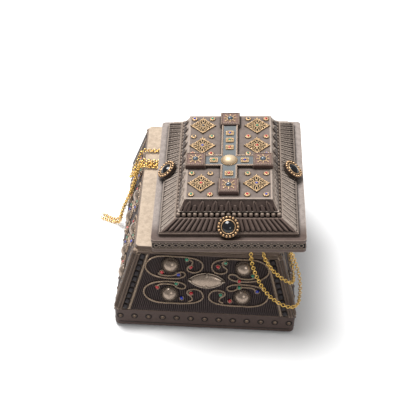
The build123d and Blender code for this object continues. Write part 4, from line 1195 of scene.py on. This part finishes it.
def medallions():
    """The beaded bezels round the four black stones."""
    bezels = Shape()
    for side in SIDES:
        place = raised(medal_frame(side), MEDAL_THICK)
        beads_round(bezels, place, 5.95, 0.88, 18, -0.1, 10, 6)
        bezels.add(ring(4.3, 0.36, 36, 8), raised(place, 0.25))
    bezels.piece("medallion_bezels", "lid", BEZEL_GOLD, (), "accent_gold")


END_PLATES = ((0, END_BACK), (0, END_FRONT), (-END_X, CROSS_Y), (END_X, CROSS_Y))
PLAQUES = ((0, 20.5), (0, 13.1), (0, 5.6), (0, -20.4), (-9.9, CROSS_Y), (9.9, CROSS_Y))


def cross_edges():
    """Twisted cord along the edges of the cross, and milled beads round its end plates."""
    edges, plates = Shape(), Shape()
    reach_back, reach_front = END_BACK - END_SIZE / 2, END_FRONT + END_SIZE / 2
    reach_side = END_X - END_SIZE / 2
    half = ARM_HALF_WIDTH - 0.55
    low, high = CROSS_Y - half, CROSS_Y + half
    z = ARM_THICK + 0.1
    lines = []
    for hand in (-1, 1):
        lines += [
            [(hand * half, high, z), (hand * half, reach_back, z)],
            [(hand * half, low, z), (hand * half, reach_front, z)],
            [(hand * half, high, z), (hand * reach_side, high, z)],
            [(hand * half, low, z), (hand * reach_side, low, z)],
        ]
    for line in lines:
        for form in rope(line, 0.62, 2.6):
            edges.add(form, CROWN)
    edges.piece("cross_rope_edges", "lid", MILLED, (), "accent_gold")
    inner = END_SIZE / 2 - 0.75
    for x, y in END_PLATES:
        place = at(CROWN, x, y, END_THICK)
        for a, b in square_edges(inner, inner):
            beads_along(plates, place, a, b, 0.5, 1.12, 0.05)
    plates.piece("cross_end_milling", "lid", MILLED, (), "end_plate_rose")


def gilt_details():
    """Rays and bezels on the end plates, the beads round the centre boss, and the gem plaques' claws."""
    gilt = Shape()
    for x, y in END_PLATES:
        place = at(CROWN, x, y, END_THICK)
        beads_round(gilt, place, 2.25, 0.36, 16, 0.12)
        for number in range(8):
            turned = at(place, 0, 0, 0, pi / 4 * number)
            reach = 4.6 if number % 2 else 3.9
            gilt.add(tube([(2.5, 0, 0.1), (reach - 0.6, 0, 0.35), (reach, 0, 0.1)], 0.26, 6), turned)
            gilt.add(ball(0.42, 8, 5), at(turned, reach, 0, 0.12))
    beads_round(gilt, at(CROWN, 0, CROSS_Y, ARM_THICK), CENTRE_RADIUS + 0.35, 0.5, 24, 0.1)
    for x, y in PLAQUES:
        place = at(CROWN, x, y, ARM_THICK + 0.45)
        for angle in np.linspace(0, 2 * pi, 15)[:-1]:
            gilt.add(ball(0.42, 8, 5), at(place, 2.35 * cos(angle), 1.9 * sin(angle), 0))
        for hand in (-1, 1):
            gilt.add(ball(0.55, 8, 6), at(place, hand * 1.5, 0, 0.1))
    gilt.piece("cross_gilt", "lid", GILT, (), "accent_gold")


LOZENGES = [(-18.0, 30.6), (-17.8, 9.6), (-17.4, -28.0), (18.0, 30.6), (17.8, 9.6), (17.4, -28.0)]
ROSETTE_ROWS = (  # along Y, then how far out the outer and inner ones are
    (38.0, 23.9, 12.0), (19.2, 23.9, 12.0), (1.4, 23.9, 12.0), (-18.4, 23.6, 11.8), (-38.4, 23.3, 11.6),
)
ROSETTES = [(x, y) for y, outer, inner in ROSETTE_ROWS for x in (-outer, -inner, inner, outer)]


def lozenges():
    """Openwork diamonds: a twisted frame, four petals and a ring round the gem, over a near black sheet,
    painted shade in the gaps.
    """
    wire, ground = Shape(), Shape()
    for x, y in LOZENGES:
        place = at(CROWN, x, y)
        points = [(LOZENGE_HALF, 0), (0, LOZENGE_HALF), (-LOZENGE_HALF, 0), (0, -LOZENGE_HALF)]
        # a near black sheet under the openwork: painted shade in its gaps
        ground.add(loft([[(0.9 * a, 0.9 * b, z) for a, b in points] for z in (-0.4, 0.2)]), place)
        inner = [(0.9 * a, 0.9 * b, 0.5) for a, b in points]
        for a, b in pairs_round(inner):
            for form in rope([a, b], 0.34, 1.3):
                wire.add(form, place)
        for number in range(4):
            turned = at(place, 0, 0, 0, pi / 2 * number)
            wire.add(tube(oval(1.75, 0.85, 4.75, 0.5), 0.24, 6, closed=True), turned)
            wire.add(ball(0.62, 8, 6), at(turned, LOZENGE_HALF * 0.95, 0, 0.55))
            wire.add(ball(0.5, 8, 6), at(turned, 3.0, 0, 0.6))
            for hand in (-1, 1):
                wire.add(ball(0.44, 8, 5), at(turned, LOZENGE_HALF * 0.78, hand * 1.5, 0.6))
                wire.add(ball(0.36, 8, 5), at(turned, 4.75, hand * 1.75, 0.55))
            diagonal = at(place, 0, 0, 0, pi / 4 + pi / 2 * number)
            wire.add(tube(oval(0.95, 0.95, 3.75, 0.5), 0.22, 6, closed=True), diagonal)
            wire.add(ball(0.55, 8, 5), at(diagonal, 5.3, 0, 0.6))
        wire.add(ring(1.65, 0.3, 20, 6), raised(place, 0.6))
        beads_round(wire, place, 2.25, 0.26, 14, 0.5, 6, 4)
        wire.add(disc(1.2, 0.9, 16), place)
    wire.piece("lozenge_filigree", "lid", OPENWORK_GILT, ["filigree_lozenges"], "accent_gold")
    ground.piece("lozenge_shade_sheets", "lid", RECESS_SHADE, (), "resin_lid")


def rosettes():
    """Small flowers of eight round petals about the crown's gems."""
    flowers = Shape()
    for x, y in ROSETTES:
        place = at(CROWN, x, y)
        flowers.add(disc(1.2, 0.8, 16), place)
        for number in range(8):
            turned = at(place, 0, 0, 0, pi / 4 * number)
            flowers.add(ball(0.62, 8, 5, flat=0.75), at(turned, 1.42, 0, 0.38))
    flowers.piece("rosette_flowers", "lid", GILT, ["rosettes"], "accent_gold")


frieze()
cove()
pearls()
crown()
medallions()
cross_edges()
gilt_details()
lozenges()
rosettes()
